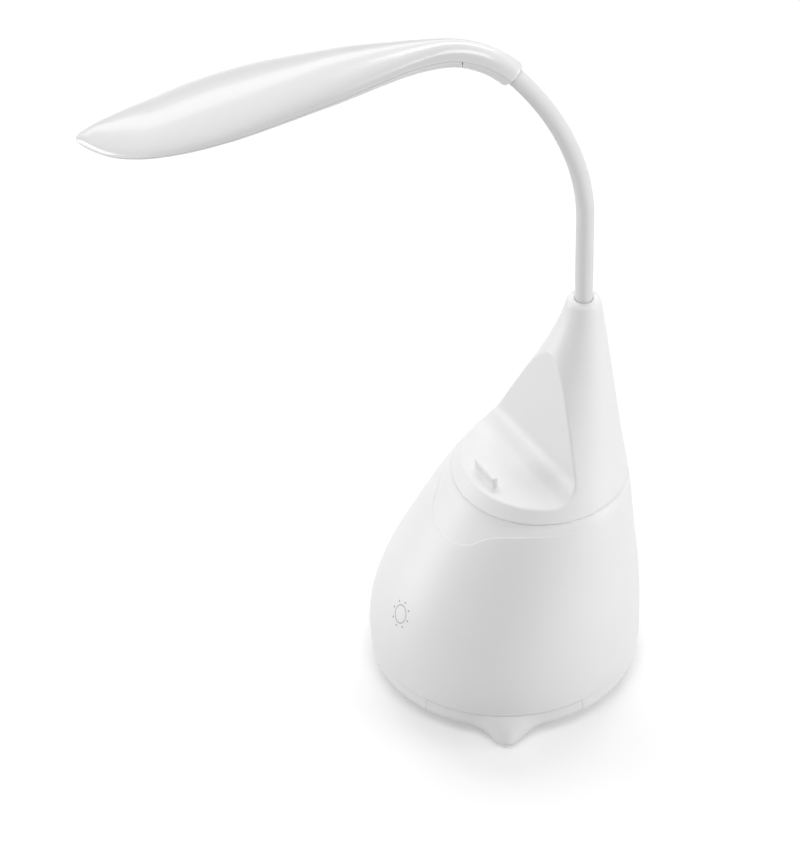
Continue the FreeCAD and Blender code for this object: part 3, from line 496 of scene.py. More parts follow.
def smooth(piece, degrees=35):
    pick(piece)
    bpy.ops.object.shade_smooth_by_angle(angle=math.radians(degrees))


def close_ends(piece):
    """Puts a face on each open end."""
    edit(piece)
    bpy.ops.mesh.select_mode(type="EDGE")
    bpy.ops.mesh.select_all(action="DESELECT")
    bpy.ops.mesh.select_non_manifold()
    bpy.ops.mesh.edge_face_add()
    object_mode()
    outward(piece)
    return piece


def ring_stack(name, rings, segments=BODY_SEGMENTS):
    """Closed solid: a disc pulled up ring by ring, each ring (x, y, z, radius) moved and resized."""
    piece = add(name, bpy.ops.mesh.primitive_circle_add, vertices=segments, radius=rings[0][3],
                fill_type="NGON", location=rings[0][:3])
    edit(piece)
    for before, after in zip(rings, rings[1:]):
        step = [b - a for a, b in zip(before[:3], after[:3])]
        bpy.ops.mesh.extrude_region_move(TRANSFORM_OT_translate={"value": step})
        size = after[3] / before[3]
        bpy.ops.transform.resize(value=(size, size, 1), center_override=after[:3])
    settle(piece)
    outward(piece)
    return piece


def block(name, low, high):
    """Box between two corners."""
    middle = [(a + b) / 2 for a, b in zip(low, high)]
    piece = add(name, bpy.ops.mesh.primitive_cube_add, size=1, location=middle)
    piece.scale = [b - a for a, b in zip(low, high)]
    return settle(piece)


def pick_edges(piece, wanted):
    """In edit mode, selects the edges whose two ends answer wanted."""
    edit(piece, "DESELECT")
    object_mode()
    for edge in piece.data.edges:
        ends = [piece.data.vertices[i].co for i in edge.vertices]
        edge.select = wanted(*ends)
    bpy.ops.object.mode_set(mode="EDIT")
    bpy.ops.mesh.select_mode(type="EDGE")


def round_edges(piece, wanted, radius, segments):
    pick_edges(piece, wanted)
    bpy.ops.mesh.bevel(offset=radius, segments=segments, affect="EDGES")
    object_mode()


def sleeve(name, rows, columns, place, closed=True):
    """Ring of rows and columns, pulled up by whole steps and then laid out by place(row, angle)."""
    piece = add(name, bpy.ops.mesh.primitive_circle_add, vertices=columns, radius=1)
    edit(piece)
    for _ in range(rows - 1):
        bpy.ops.mesh.extrude_edges_move(TRANSFORM_OT_translate={"value": (0, 0, 1)})
    if closed:
        pick_edges(piece, lambda a, b: a.z == b.z and round(a.z) in (0, rows - 1))
        bpy.ops.mesh.bridge_edge_loops()
    object_mode()
    for vertex in piece.data.vertices:
        row = round(vertex.co.z)
        vertex.co = place(row, math.atan2(vertex.co.y, vertex.co.x))
    return piece


# ---------------- materials
class Field:
    """A node's socket, so that a pattern is written as an expression."""

    def __init__(self, web, socket):
        self.web = web
        self.socket = socket

    def maths(self, operation, first, second):
        return self.web.node("ShaderNodeMath", {"operation": operation}, {0: first, 1: second})

    def __add__(self, other):
        return self.maths("ADD", self, other)

    def __sub__(self, other):
        return self.maths("SUBTRACT", self, other)

    def __rsub__(self, other):
        return self.maths("SUBTRACT", other, self)

    def __mul__(self, other):
        return self.maths("MULTIPLY", self, other)

    __radd__ = __add__
    __rmul__ = __mul__


class Web:
    """A node tree, with one method for any node."""

    def __init__(self, tree):
        self.tree = tree

    def node(self, kind, settings=None, inputs=None, out=0):
        made = self.tree.nodes.new(kind)
        for key, value in (settings or {}).items():
            if key == "stops":
                self._stops(made.color_ramp.elements, value)
            else:
                setattr(made, key, value)
        for key, value in (inputs or {}).items():
            self.feed(made.inputs[key], value)
        return Field(self, made.outputs[out])

    def _stops(self, elements, stops):
        while len(elements) < len(stops):
            elements.new(1.0)
        for element, (place, value) in zip(elements, stops):
            element.position = place
            element.color = (value, value, value, 1)

    def feed(self, socket, value):
        if isinstance(value, Field):
            self.tree.links.new(value.socket, socket)
        else:
            socket.default_value = value

    def ray(self, kind):
        return self.node("ShaderNodeLightPath", out="Is %s Ray" % kind)


class Paint(Web):
    """A new material with its surface shader; patterns lie on the piece's own coordinates."""

    def __init__(self, name, constants):
        self.material = bpy.data.materials.new(name)
        self.material.use_nodes = True
        super().__init__(self.material.node_tree)
        self.surface(constants)
        self.place = self.node("ShaderNodeTexCoord", out="Object")

    def surface(self, values):
        """Sets or links sockets of the surface shader."""
        for socket, value in values.items():
            self.feed(self.tree.nodes["Principled BSDF"].inputs[socket], value)

    def noise(self, per_metre, detail=3.0, roughness=0.5):
        """Cloudy pattern from 0 to 1, with that many features in a metre."""
        return self.node("ShaderNodeTexNoise", None, {
            "Vector": self.place, "Scale": per_metre, "Detail": detail, "Roughness": roughness})

    def cells(self, per_metre):
        return self.node("ShaderNodeTexVoronoi", None, {"Vector": self.place, "Scale": per_metre}, "Distance")

    def steps(self, value, stops):
        return self.node("ShaderNodeValToRGB", {"stops": stops}, {0: value})

    def between(self, share, first, second):
        """Mix of two colours."""
        return self.node("ShaderNodeMix", {"data_type": "RGBA"}, {
            0: share, 6: tuple(first) + (1,), 7: tuple(second) + (1,)}, 2)

    def coat(self, tone, rough, bump, depth):
        """Links what changes over the surface to the shader."""
        normal = self.node("ShaderNodeBump", None, {"Strength": 1.0, "Distance": depth, "Height": bump})
        self.surface({"Base Color": tone, "Roughness": rough, "Normal": normal})
        return self.material

    def grained(self, rgb, shades, grain, rough, depth, drift=None):
        """A fine grain as bump, and slow drifts of tone and gloss.

        grain and drift: how many features in a metre, detail and roughness of the pattern; without a
        drift the grain stands in for it. rough: the roughness, what the drift adds and what the grain adds.
        """
        fine = self.noise(*grain)
        slow = self.noise(*drift) if drift else fine
        tone = self.between(slow, shade(rgb, shades[0]), shade(rgb, shades[1]))
        even, by_drift, by_grain = rough
        gloss = even + by_drift * slow
        if by_grain:
            gloss = gloss + by_grain * fine
        return self.coat(tone, gloss, fine, depth * MM)


def shade(rgb, factor):
    return tuple(min(1.0, c * factor) for c in rgb)


def satin_white(finish):
    """Satin moulded plastic with a fine spark-eroded grain and slow drifts of gloss."""
    paint = Paint("satin_white", {"IOR": 1.5})
    return paint.grained(finish.satin, (0.985, 1.012), (3400, 2.0), (0.4, 0.06, 0.05), 0.006, (38, 3.0))


def gloss_white(finish):
    """Polished white plastic: an even colour, faint flow waves and the finest orange peel."""
    paint = Paint("gloss_white", {"IOR": 1.5, "Coat Weight": 0.45, "Coat Roughness": 0.1})
    return paint.grained(finish.gloss, (0.99, 1.01), (420, 1.0), (0.26, 0.05, 0), 0.004, (24, 2.0))


def matte_sleeve(finish):
    """Matte silicone: velvety, with a fine powdery grain."""
    paint = Paint("matte_sleeve", {"IOR": 1.43, "Sheen Weight": 0.12, "Sheen Roughness": 0.5})
    return paint.grained(finish.sleeve, (0.97, 1.02), (5200, 3.0, 0.7), (0.56, 0.08, 0), 0.01, (60, 3.0))


def printed_ink(finish):
    """Pad-printed grey ink with slightly uneven cover."""
    paint = Paint("printed_ink", {"IOR": 1.48})
    return paint.grained(finish.ink, (0.9, 1.12), (5200, 4.0, 0.65), (0.5, 0.1, 0), 0.004)


def opal_acrylic(finish):
    """Milky diffuser plate with a fine frosted face."""
    paint = Paint("opal_acrylic", {"IOR": 1.49, "Subsurface Weight": 0.25, "Subsurface Scale": 3 * MM})
    return paint.grained(finish.opal, (0.985, 1.01), (6400, 3.0, 0.6), (0.34, 0, 0.1), 0.004, (30, 2.0))


def foot_foam(finish):
    """Closed-cell foam: open pores over a soft uneven grey."""
    paint = Paint("closed_cell_foam", {"IOR": 1.4})
    pores = paint.steps(paint.cells(1700), [(0.0, 0.0), (0.45, 1.0)])
    tone = paint.between(pores, shade(finish.foam, 0.7), shade(finish.foam, 1.04))
    return paint.coat(tone, 0.82 - 0.06 * pores, pores, 0.05 * MM)


def metal_finish(name, rgb, rough, grain_per_metre, depth):
    """Metal with a grain of its own: plated, turned or cast."""
    paint = Paint(name, {"Metallic": 1.0})
    return paint.grained(rgb, (0.88, 1.08), (grain_per_metre, 4.0, 0.6), (rough, 0.12, 0), depth)


def moulded(name, rgb, rough, grain_per_metre=2600, depth=0.01):
    """Plain moulded plastic, film or solder mask with its fine texture."""
    paint = Paint(name, {"IOR": 1.5})
    return paint.grained(rgb, (0.9, 1.1), (grain_per_metre, 3.0, 0.6), (rough, 0, 0.08), depth, (70, 2.0))


def inner_finishes():
    """Finishes of what the shells hold, by the record's material slot."""
    return {
        "weight_steel": metal_finish("cast_iron", (0.20, 0.20, 0.21), 0.55, 900, 0.05),
        "screw_steel": metal_finish("zinc_plate", (0.62, 0.63, 0.66), 0.28, 2400, 0.004),
        "nickel_plate": metal_finish("nickel_plate", (0.70, 0.68, 0.64), 0.18, 1800, 0.003),
        "neck_brass": metal_finish("turned_brass", (0.76, 0.58, 0.28), 0.25, 1600, 0.004),
        "cell_wrap": moulded("shrink_wrap", (0.06, 0.17, 0.42), 0.28, 300, 0.01),
        "inner_black": moulded("black_moulding", (0.022, 0.022, 0.023), 0.45),
        "board_green": moulded("green_solder_mask", (0.02, 0.13, 0.05), 0.3, 1200, 0.006),
        "board_white": moulded("white_solder_mask", (0.80, 0.80, 0.79), 0.34, 1200, 0.006),
        "led_yellow": moulded("phosphor", (0.86, 0.66, 0.14), 0.5, 5200, 0.01),
        "touch_film": metal_finish("copper_film", (0.72, 0.40, 0.25), 0.32, 1400, 0.003),
        "lead_sleeve": moulded("wire_sleeve", (0.70, 0.70, 0.69), 0.45, 1800, 0.006),
    }


def dress(piece, material):
    piece.data.materials.clear()
    piece.data.materials.append(material)


def finish_of(make):
    """The material that make gives, made once and found again by the same name."""
    return bpy.data.materials.get(make.__name__) or make(bpy.context.scene.lamp_finish)


def hand_over(piece, body, slot_, make, *nodes):
    """The finished piece gets its look, moves with its body and stands for its nodes."""
    dress(piece, finish_of(make))
    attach(piece, body)
    if nodes:
        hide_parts(*nodes)


# ---------------- base slice and drawer
def heights(low, high, count):
    return [low + (high - low) * k / (count - 1) for k in range(count)]


def skin_rings(drop, low, high, count, inset=0.0):
    return [drop.ring(z, inset) for z in heights(low, high, count)]


def drawer_block(drawer, name, low, high):
    """Box between two corners on the drawer's own axes."""
    return settle(block(name, low, high), drawer_plane(drawer))


class LAMP_OT_base_pan(bpy.types.Operator):
    """Base slice: rounded bottom, seam groove and the channel for the drawer"""

    bl_idname = "lamp.base_pan"
    bl_label = "Base pan"

    def execute(self, context):
        body, drawer = context.scene.lamp_body, context.scene.lamp_drawer
        drop = Drop(body)
        top = body.seam_h - body.seam_gap
        floor = body.pan_low + body.floor_t
        clear = 2 * body.seam_h         # well above the slice
        soft = body.edge_r * 0.4        # the rounding of the slice's upper edge
        rings = skin_rings(drop, body.pan_low, top - soft, PAN_ROWS) + [drop.ring(top, soft)]
        pan = ring_stack("base_pan_shell", rings)
        half = drawer.width / 2 + drawer.run
        side = half + drawer.channel_t
        back = -drawer.back - drawer.run
        far = body.base_dia
        hollow = ring_stack("hollow", skin_rings(drop, floor, body.seam_h + MM, HOLLOW_ROWS, body.shell_t))
        wall = drawer_block(drawer, "wall", (back - drawer.channel_t, -side, 0), (far, side, clear))
        cut(hollow, wall)
        cut(pan, hollow)
        channel = drawer_block(drawer, "channel", (back, -half, floor), (far / 3, half, clear))
        cut(pan, channel)
        half = drawer.width / 2 + drawer.gap
        mouth = drawer_block(drawer, "mouth", (0, -half, floor), (far, half, clear))
        cut(pan, mouth)
        outward(pan)
        smooth(pan)
        hand_over(pan, "base", "body_plastic", satin_white, "base_pan")
        return {"FINISHED"}


class LAMP_OT_drawer(bpy.types.Operator):
    """Shallow drawer: a tray whose front carries on the base's curve, with a rounded pull"""

    bl_idname = "lamp.drawer"
    bl_label = "Drawer"

    def ridge(self, drawer, skin, z, top):
        """Reach of the pull's middle line at a height; skin is the base's reach at the top."""
        hollow, blunt = 1.3, 0.4 * MM
        if z >= drawer.pull_z:
            share = min((z - drawer.pull_z) / (top - drawer.pull_z), 1)
            return drawer.pull_reach + (skin - drawer.pull_reach) * share ** hollow
        share = min((drawer.pull_z - z) / (drawer.pull_z - drawer.under + blunt), 1)
        return drawer.pull_reach - drawer.pull_under * (1 - math.sqrt(1 - share * share))

    def draw_out(self, tray, drawer, drop, top):
        """Draws the pull out of the front: a bell across, a ridge from the seam down to its tip."""
        turned = drawer_plane(drawer)
        inverse = turned.inverted()
        middle = inverse @ Vector((0, drop.at(top)[1], 0))
        skin = middle.x + drop.at(top)[0]
        for vertex in tray.data.vertices:
            place = inverse @ vertex.co
            side = (place.y - drawer.pull_side) / drawer.pull_half
            if place.x < 0.4 * drawer.pull_reach or abs(side) >= 1:
                continue        # behind the front, or beside the pull
            z = min(max(place.z, drawer.under), top)
            radius, y = drop.at(z)
            base = (inverse @ Vector((0, y, 0))).x + radius
            out = self.ridge(drawer, skin, z, top) - base
            place.x += max(out, 0.0) * math.cos(side * math.pi / 2) ** 2
            vertex.co = turned @ place

    def execute(self, context):
        body, drawer = context.scene.lamp_body, context.scene.lamp_drawer
        drop = Drop(body)
        top = body.seam_h - body.seam_gap
        far = body.base_dia
        half = drawer.width / 2
        spare, skirt = 3 * MM, 0.15 * MM
        levels = heights(drawer.under, top, TRAY_ROWS)
        levels = [drawer.under - spare, drawer.under, drawer.under + skirt] + levels[1:] + [top + spare]
        tray = ring_stack("drawer_tray_front", [drop.ring(z) for z in levels], 3 * BODY_SEGMENTS)
        self.draw_out(tray, drawer, drop, top)
        keep = drawer_block(drawer, "keep", (-drawer.back, -half, drawer.under), (far, half, top))
        combine(tray, keep, "INTERSECT")
        clear = 2 * body.seam_h
        well = block("well", (drawer.wall - drawer.back, drawer.wall - half, drawer.under + drawer.wall),
                     (far, half - drawer.wall, clear))
        round_edges(well, lambda a, b: abs(a.z - b.z) > MM and a.x < 0, drawer.corner_r, 8)
        settle(well, drawer_plane(drawer))
        inner = ring_stack("inner", skin_rings(drop, drawer.under, clear, HOLLOW_ROWS, body.shell_t))
        combine(well, inner, "INTERSECT")
        cut(tray, well)
        outward(tray)
        smooth(tray)
        hand_over(tray, "drawer", "body_plastic", satin_white, "drawer_tray")
        return {"FINISHED"}


# ---------------- bowl
class LAMP_OT_lower_bowl(bpy.types.Operator):
    """Lower shell: the drop up to its wavy edge, the recessed band above it and the slot of the inlet"""

    bl_idname = "lamp.lower_bowl"
    bl_label = "Lower bowl"

    def execute(self, context):
        body, cradle = context.scene.lamp_body, context.scene.lamp_cradle
        drop = Drop(body)
        wave = Wave(body, drop)
        low, edge = body.seam_h - body.seam_gap + body.seam_line, body.edge_r
        spigot_top = body.ring_h + cradle.ledge_rise - cradle.ledge_t - MM
        wall = body.shell_t + 0.6 * MM
        columns = {}

        def column(turn):
            """Height and inset of the section's rows: skin, edge, band, and down again inside."""
            top = wave.on_drop(drop, turn)
            upper = top - edge
            rows = [(low + rise * MM, inset * body.bead) for rise, inset in BEAD]
            rows += [(z, 0.0) for z in heights(low + BEAD_END, upper, BODY_ROWS)]
            rows += [(upper + edge * math.sin(a), edge * (1 - math.cos(a))) for a in QUARTER[1:]]
            for share in heights(0, 1, BAND_ROWS + 1)[1:]:
                inset = edge + (body.recess - edge) * min(1.6 * share, 1)
                rows.append((top + (body.ring_h - top) * share, inset))
            rows += [(z, body.recess) for z in heights(body.ring_h, spigot_top, 4)[1:]]
            rows += [(z, body.recess + body.shell_t) for z in heights(spigot_top, upper, 8)]
            return rows + [(z, wall) for z in heights(upper, low, WALL_ROWS + 1)[1:]]

        def place(row, turn):
            if turn not in columns:
                columns[turn] = column(turn)
            return drop.point(turn, *columns[turn][row])

        bowl = sleeve("lower_bowl_shell", len(column(0)), BODY_SEGMENTS, place)
        outward(bowl)
        low_corner, high_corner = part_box("usb_port")
        gap = Vector((0.25, 2, 0.25)) * MM
        slot = block("slot", low_corner - gap, high_corner + gap + Vector((0, 18, 0)) * MM)
        round_edges(slot, lambda a, b: abs(a.y - b.y) > MM, (high_corner.z - low_corner.z) * 0.5, 8)
        cut(bowl, slot)
        smooth(bowl)
        hand_over(bowl, "base", "body_plastic", satin_white, "lower_bowl")
        return {"FINISHED"}


class LAMP_OT_touch_mark(bpy.types.Operator):
    """Printed touch mark: a ring with dots round it, laid on the bowl's front"""

    bl_idname = "lamp.touch_mark"
    bl_label = "Touch mark"

    def circle(self, place, radius, segments, fill="NOTHING"):
        return settle(add("touch_circle", bpy.ops.mesh.primitive_circle_add, vertices=segments, radius=radius,
                          fill_type=fill, location=place, rotation=(math.pi / 2, 0, 0)))

    def ring(self, place, radius, line):
        piece = self.circle(place, radius - line / 2, 96)
        edit(piece)
        bpy.ops.mesh.extrude_edges_move()
        size = (radius + line / 2) / (radius - line / 2)
        bpy.ops.transform.resize(value=(size, size, size), center_override=place)
        object_mode()
        return piece

    def execute(self, context):
        body, mark = context.scene.lamp_body, context.scene.lamp_mark
        bowl = bpy.data.objects["lower_bowl_shell"]
        middle = Vector((0, -body.base_dia, mark.height))
        parts = [self.ring(middle, mark.ring_r, mark.line)]
        for k in range(mark.dots):
            turn = 2 * math.pi * k / mark.dots
            out = Vector((math.sin(turn), 0, math.cos(turn))) * mark.dots_r
            parts.append(self.circle(middle + out, mark.dot_dia / 2, 20, "TRIFAN"))
        deselect()
        for part in parts:
            part.select_set(True)
        bpy.context.view_layer.objects.active = parts[0]
        bpy.ops.object.join()
        piece = named("touch_mark")
        finish_modifier(piece, "SHRINKWRAP", target=bowl, wrap_method="PROJECT", use_project_y=True,
                        offset=0.3 * mark.ink_t)
        finish_modifier(piece, "SOLIDIFY", thickness=mark.ink_t, offset=0)
        outward(piece)
        hand_over(piece, "base", "body_plastic", printed_ink)
        return {"FINISHED"}


# ---------------- cone with the phone cradle
class LAMP_OT_upper_cone(bpy.types.Operator):
    """Upper cone: a shell with the scooped cradle, its ledge and lip, all edges softly rounded"""

    bl_idname = "lamp.upper_cone"
    bl_label = "Upper cone"

    def cutter(self, body, cradle, drop, grow):
        """The cradle's side outline, swept across the lamp."""
        ledge = body.ring_h + cradle.ledge_rise
        foot = drop.front(ledge) + cradle.ledge_depth
        top = body.body_h - cradle.back_drop
        slope = (drop.front(top) - foot) / (top - ledge)
        shift = grow * body.cone_t
        low = ledge - grow * cradle.ledge_t
        wide, high = body.base_dia, 1.2 * body.body_h      # past the cone on every side
        piece = block("cradle", (-wide, -wide, low), (wide, foot + shift, high))
        edit(piece, "DESELECT")
        object_mode()
        for vertex in piece.data.vertices:
            vertex.select = vertex.co.y > 0 and vertex.co.z > low + MM
        bpy.ops.object.mode_set(mode="EDIT")
        bpy.ops.transform.translate(value=(0, slope * (high - ledge), 0))
        object_mode()
        corner = math.pi / 2 + math.atan(slope)
        offset = cradle.corner_r / math.tan(corner / 2)

        def back_corner(a, b):
            return abs(a.x - b.x) > MM and max(a.z, b.z) < low + MM and min(a.y, b.y) > 0

        round_edges(piece, back_corner, offset, 16)
        return piece

    def execute(self, context):
        body, cradle, neck = context.scene.lamp_body, context.scene.lamp_cradle, context.scene.lamp_neck
        drop = Drop(body)
        rim = body.rim_r
        rings = skin_rings(drop, body.ring_h, body.body_h - rim, CONE_ROWS)
        rings += [drop.ring(body.body_h - rim * (1 - math.sin(a)), rim * (1 - math.cos(a)))
                  for a in QUARTER[1:]]
        cone = ring_stack("upper_cone_shell", rings)
        solid_tip = 22 * MM
        hollow = skin_rings(drop, body.ring_h - MM, body.body_h - solid_tip, CAVITY_ROWS, body.cone_t)
        cavity = ring_stack("cavity", hollow)
        cut(cavity, self.cutter(body, cradle, drop, 1))
        cut(cone, cavity)
        cut(cone, self.cutter(body, cradle, drop, 0))
        ledge = body.ring_h + cradle.ledge_rise
        middle = drop.front(ledge) + cradle.lip_in
        lip = block("lip", (-cradle.lip_w / 2, middle - cradle.lip_t / 2, ledge - MM),
                    (cradle.lip_w / 2, middle + cradle.lip_t / 2, ledge + cradle.lip_h))
        combine(cone, lip, "UNION")
        hole_depth, hole_r = 12 * MM, neck.dia / 2 + 0.1 * MM
        ends = (body.body_h - hole_depth, body.body_h + MM)
        hole = ring_stack("hole", [(0, body.lean, z, hole_r) for z in ends], 64)
        cut(cone, hole)
        finish_modifier(cone, "REMESH", mode="VOXEL", voxel_size=cradle.grain, adaptivity=0)
        finish_modifier(cone, "SMOOTH", factor=0.5, iterations=4)
        smooth(cone, 60)
        hand_over(cone, "base", "body_plastic", satin_white, "upper_cone")
        return {"FINISHED"}


# ---------------- neck
class LAMP_OT_neck(bpy.types.Operator):
    """Sleeve of the gooseneck, in stretches that each run across one joint"""

    bl_idname = "lamp.neck"
    bl_label = "Neck"

    def tube(self, name, plane, path, radius, low, high):
        """Stretch of sleeve whose ends turn inwards."""
        rows = max(12, round((high - low) / NECK_STEP))
        end_t = 2.2 * MM

        def place(row, turn):
            step = min(max(row - 1, 0), rows - 3)
            reach = radius - end_t if row in (0, rows - 1) else radius
            return beside(plane, path, low + (high - low) * step / (rows - 3),
                          math.sin(turn) * reach, math.cos(turn) * reach)

        piece = sleeve(name, rows, NECK_SEGMENTS, place, closed=False)
        outward(piece)
        smooth(piece, 40)
        return piece

    def execute(self, context):
        body, neck = context.scene.lamp_body, context.scene.lamp_neck
        plane = neck_plane(body, neck)
        path = neck_runs(neck)
        end = neck_length(neck)
        bodies = ["base", "neck_1", "neck_2", "neck_3", "neck_4", "head"]
        count = len(bodies) - 1
        pitch = (end - neck.first_joint - neck.last_joint) / (count - 1)
        joints = [neck.first_joint + k * pitch for k in range(count)]
        in_cone, in_head = 6 * MM, 5 * MM
        cuts = [-in_cone] + [(a + b) / 2 for a, b in zip(joints, joints[1:])] + [end + in_head]
        nodes = [["neck_root"]] + [["neck_link_%d" % k] for k in (1, 2, 3)] + [["neck_link_4", "neck_tip"]]
        material = finish_of(matte_sleeve)
        for k in range(count):
            piece = self.tube("neck_sleeve_%d" % k, plane, path, neck.dia / 2, cuts[k], cuts[k + 1])
            dress(piece, material)
            points = [beside(plane, path, joints[k] + reach) for reach in (-neck.soft, neck.soft)]
            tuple(points[0])
            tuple(points[1])
            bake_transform(piece)
            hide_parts(*nodes[k])
        return {"FINISHED"}


# ---------------- head
class HeadForm:
    """The head's sections along its spine."""

    def __init__(self, scene):
        self.sizes = scene.lamp_head
        self.path = head_runs(scene.lamp_neck, self.sizes)
        self.length = path_length(self.path)
        self.plane = neck_plane(scene.lamp_body, scene.lamp_neck)

    def section(self, distance):
        width, crown, belly = smooth_rows(HEAD_OUTLINE, distance / self.length)
        return width * self.sizes.half_w, crown * self.sizes.crown, belly * self.sizes.belly

    def point(self, distance, across, rise):
        return beside(self.plane, self.path, distance, across, rise)

    def half(self, name, side, low, high, wall):
        """Half shell, above (side 1) or below (side -1) the parting line, with closed ends."""
        lift = self.sizes.parting * (0.25 if side > 0 else 1)           # the lower half gives most of the gap
        end_r = self.sizes.end_r * (1 if low == 0 else 0.3)             # softer only where the neck enters
        tip = HEAD_TIP if high >= self.length - TINY else 0.0
        count = max(8, round(HEAD_RINGS * (high - low) / self.length))
        # stations along the spine: distance, how far the skin lies inside the outline, how far it is open
        stations = [(low + end_r * (1 - math.cos(a)), end_r * (1 - math.sin(a)), 1.0) for a in QUARTER]
        for k in range(1, count):
            share = k / count
            if tip:
                share = 1 - (1 - share) ** 1.25     # closer together towards the tip
            stations.append((low + end_r + (high - tip - low - end_r) * share, 0.0, 1.0))
        if tip:
            turns = [k * math.pi / 12 for k in range(7)]
            stations += [(high - tip + tip * math.sin(a), 0.0, max(math.cos(a), 0.08)) for a in turns]
        else:
            stations.append((high, 0.0, 1.0))

        def place(row, turn):
            distance, inset, open_ = stations[row]
            width, crown, belly = self.section(min(distance, self.length))
            if turn < 0:        # the inner side of the wall
                inset = min(wall, 0.8 * width * open_)
                distance = min(max(distance, low + 0.2 * MM), high - 0.5 * tip)
            height = max((crown if side > 0 else belly) * open_ - inset, THINNEST)
            return self.point(distance, (width * open_ - inset) * math.cos(turn),
                              side * (lift + height * abs(math.sin(turn))))

        return close_ends(sleeve(name, len(stations), HEAD_SEGMENTS, place, closed=False))


class LAMP_OT_head_shell(bpy.types.Operator):
    """Upper half of the leaf-shaped head, from the neck's end to the tip"""

    bl_idname = "lamp.head_shell"
    bl_label = "Head shell"

    def execute(self, context):
        form = HeadForm(context.scene)
        shell = form.half("head_shell_upper", 1, 0, form.length, form.sizes.wall)
        smooth(shell)
        hand_over(shell, "head", "head_gloss", gloss_white, "head_shell")
        return {"FINISHED"}


class LAMP_OT_head_bezel(bpy.types.Operator):
    """Lower half of the head: the cover over the neck's end, and the frame round the lit window"""

    bl_idname = "lamp.head_bezel"
    bl_label = "Head bezel"

    def execute(self, context):
        form = HeadForm(context.scene)
        sizes = form.sizes
        cover = form.half("neck_cover_shell", -1, 0, sizes.cover, sizes.wall)
        smooth(cover)
        hand_over(cover, "head", "head_gloss", gloss_white, "neck_cover")
        bezel = form.half("head_bezel_frame", -1, sizes.cover + sizes.cover_gap, form.length, sizes.wall)
        cut(bezel, self.window(form))
        smooth(bezel)
        hand_over(bezel, "head", "head_gloss", gloss_white, "head_bezel")
        return {"FINISHED"}

    def window(self, form):
        """Leaf-shaped prism that follows the head's outline, set in from its edge."""
        sizes = form.sizes
        blade = form.path[3][0][0] + form.path[3][1][0]
        first, last = blade + sizes.light_start, blade + sizes.light_end
        above, below = 2 * MM, -9 * MM
        count = 40

        def place(row, turn):
            share = 0.5 - 0.5 * math.cos(math.pi * row / (count - 1))
            distance = first + (last - first) * share
            full = form.section(distance)[0] - sizes.window_in
            width = max(full * (1 - abs(2 * share - 1) ** 4) ** 0.5, 0.2 * MM)
            corner = turn + math.pi / 4
            return form.point(
                distance, width if math.cos(corner) > 0 else -width, above if math.sin(corner) > 0 else below)

        return close_ends(sleeve("window", count, 4, place, closed=False))


# ---------------- pieces that the frame already holds
class LAMP_OT_inner_parts(bpy.types.Operator):
    """Finishes of the frame's own pieces: foot pad, deck, boards, cell, screws, wires and the light"""

    bl_idname = "lamp.inner_parts"
    bl_label = "Inner parts"

    def execute(self, context):
        finishes = inner_finishes()
        look = context.scene.lamp_finish
        finishes["foot_foam"] = foot_foam(look)
        finishes["diffuser_opal"] = opal_acrylic(look)
        finishes["body_plastic"] = finish_of(satin_white)
        finishes["head_gloss"] = finish_of(gloss_white)
        finishes["neck_silicone"] = finish_of(matte_sleeve)
        for part in frame["record"]["subparts"]:
            dress(frame["nodes"][part["node"]], finishes[part["material_slot"]])
        return {"FINISHED"}


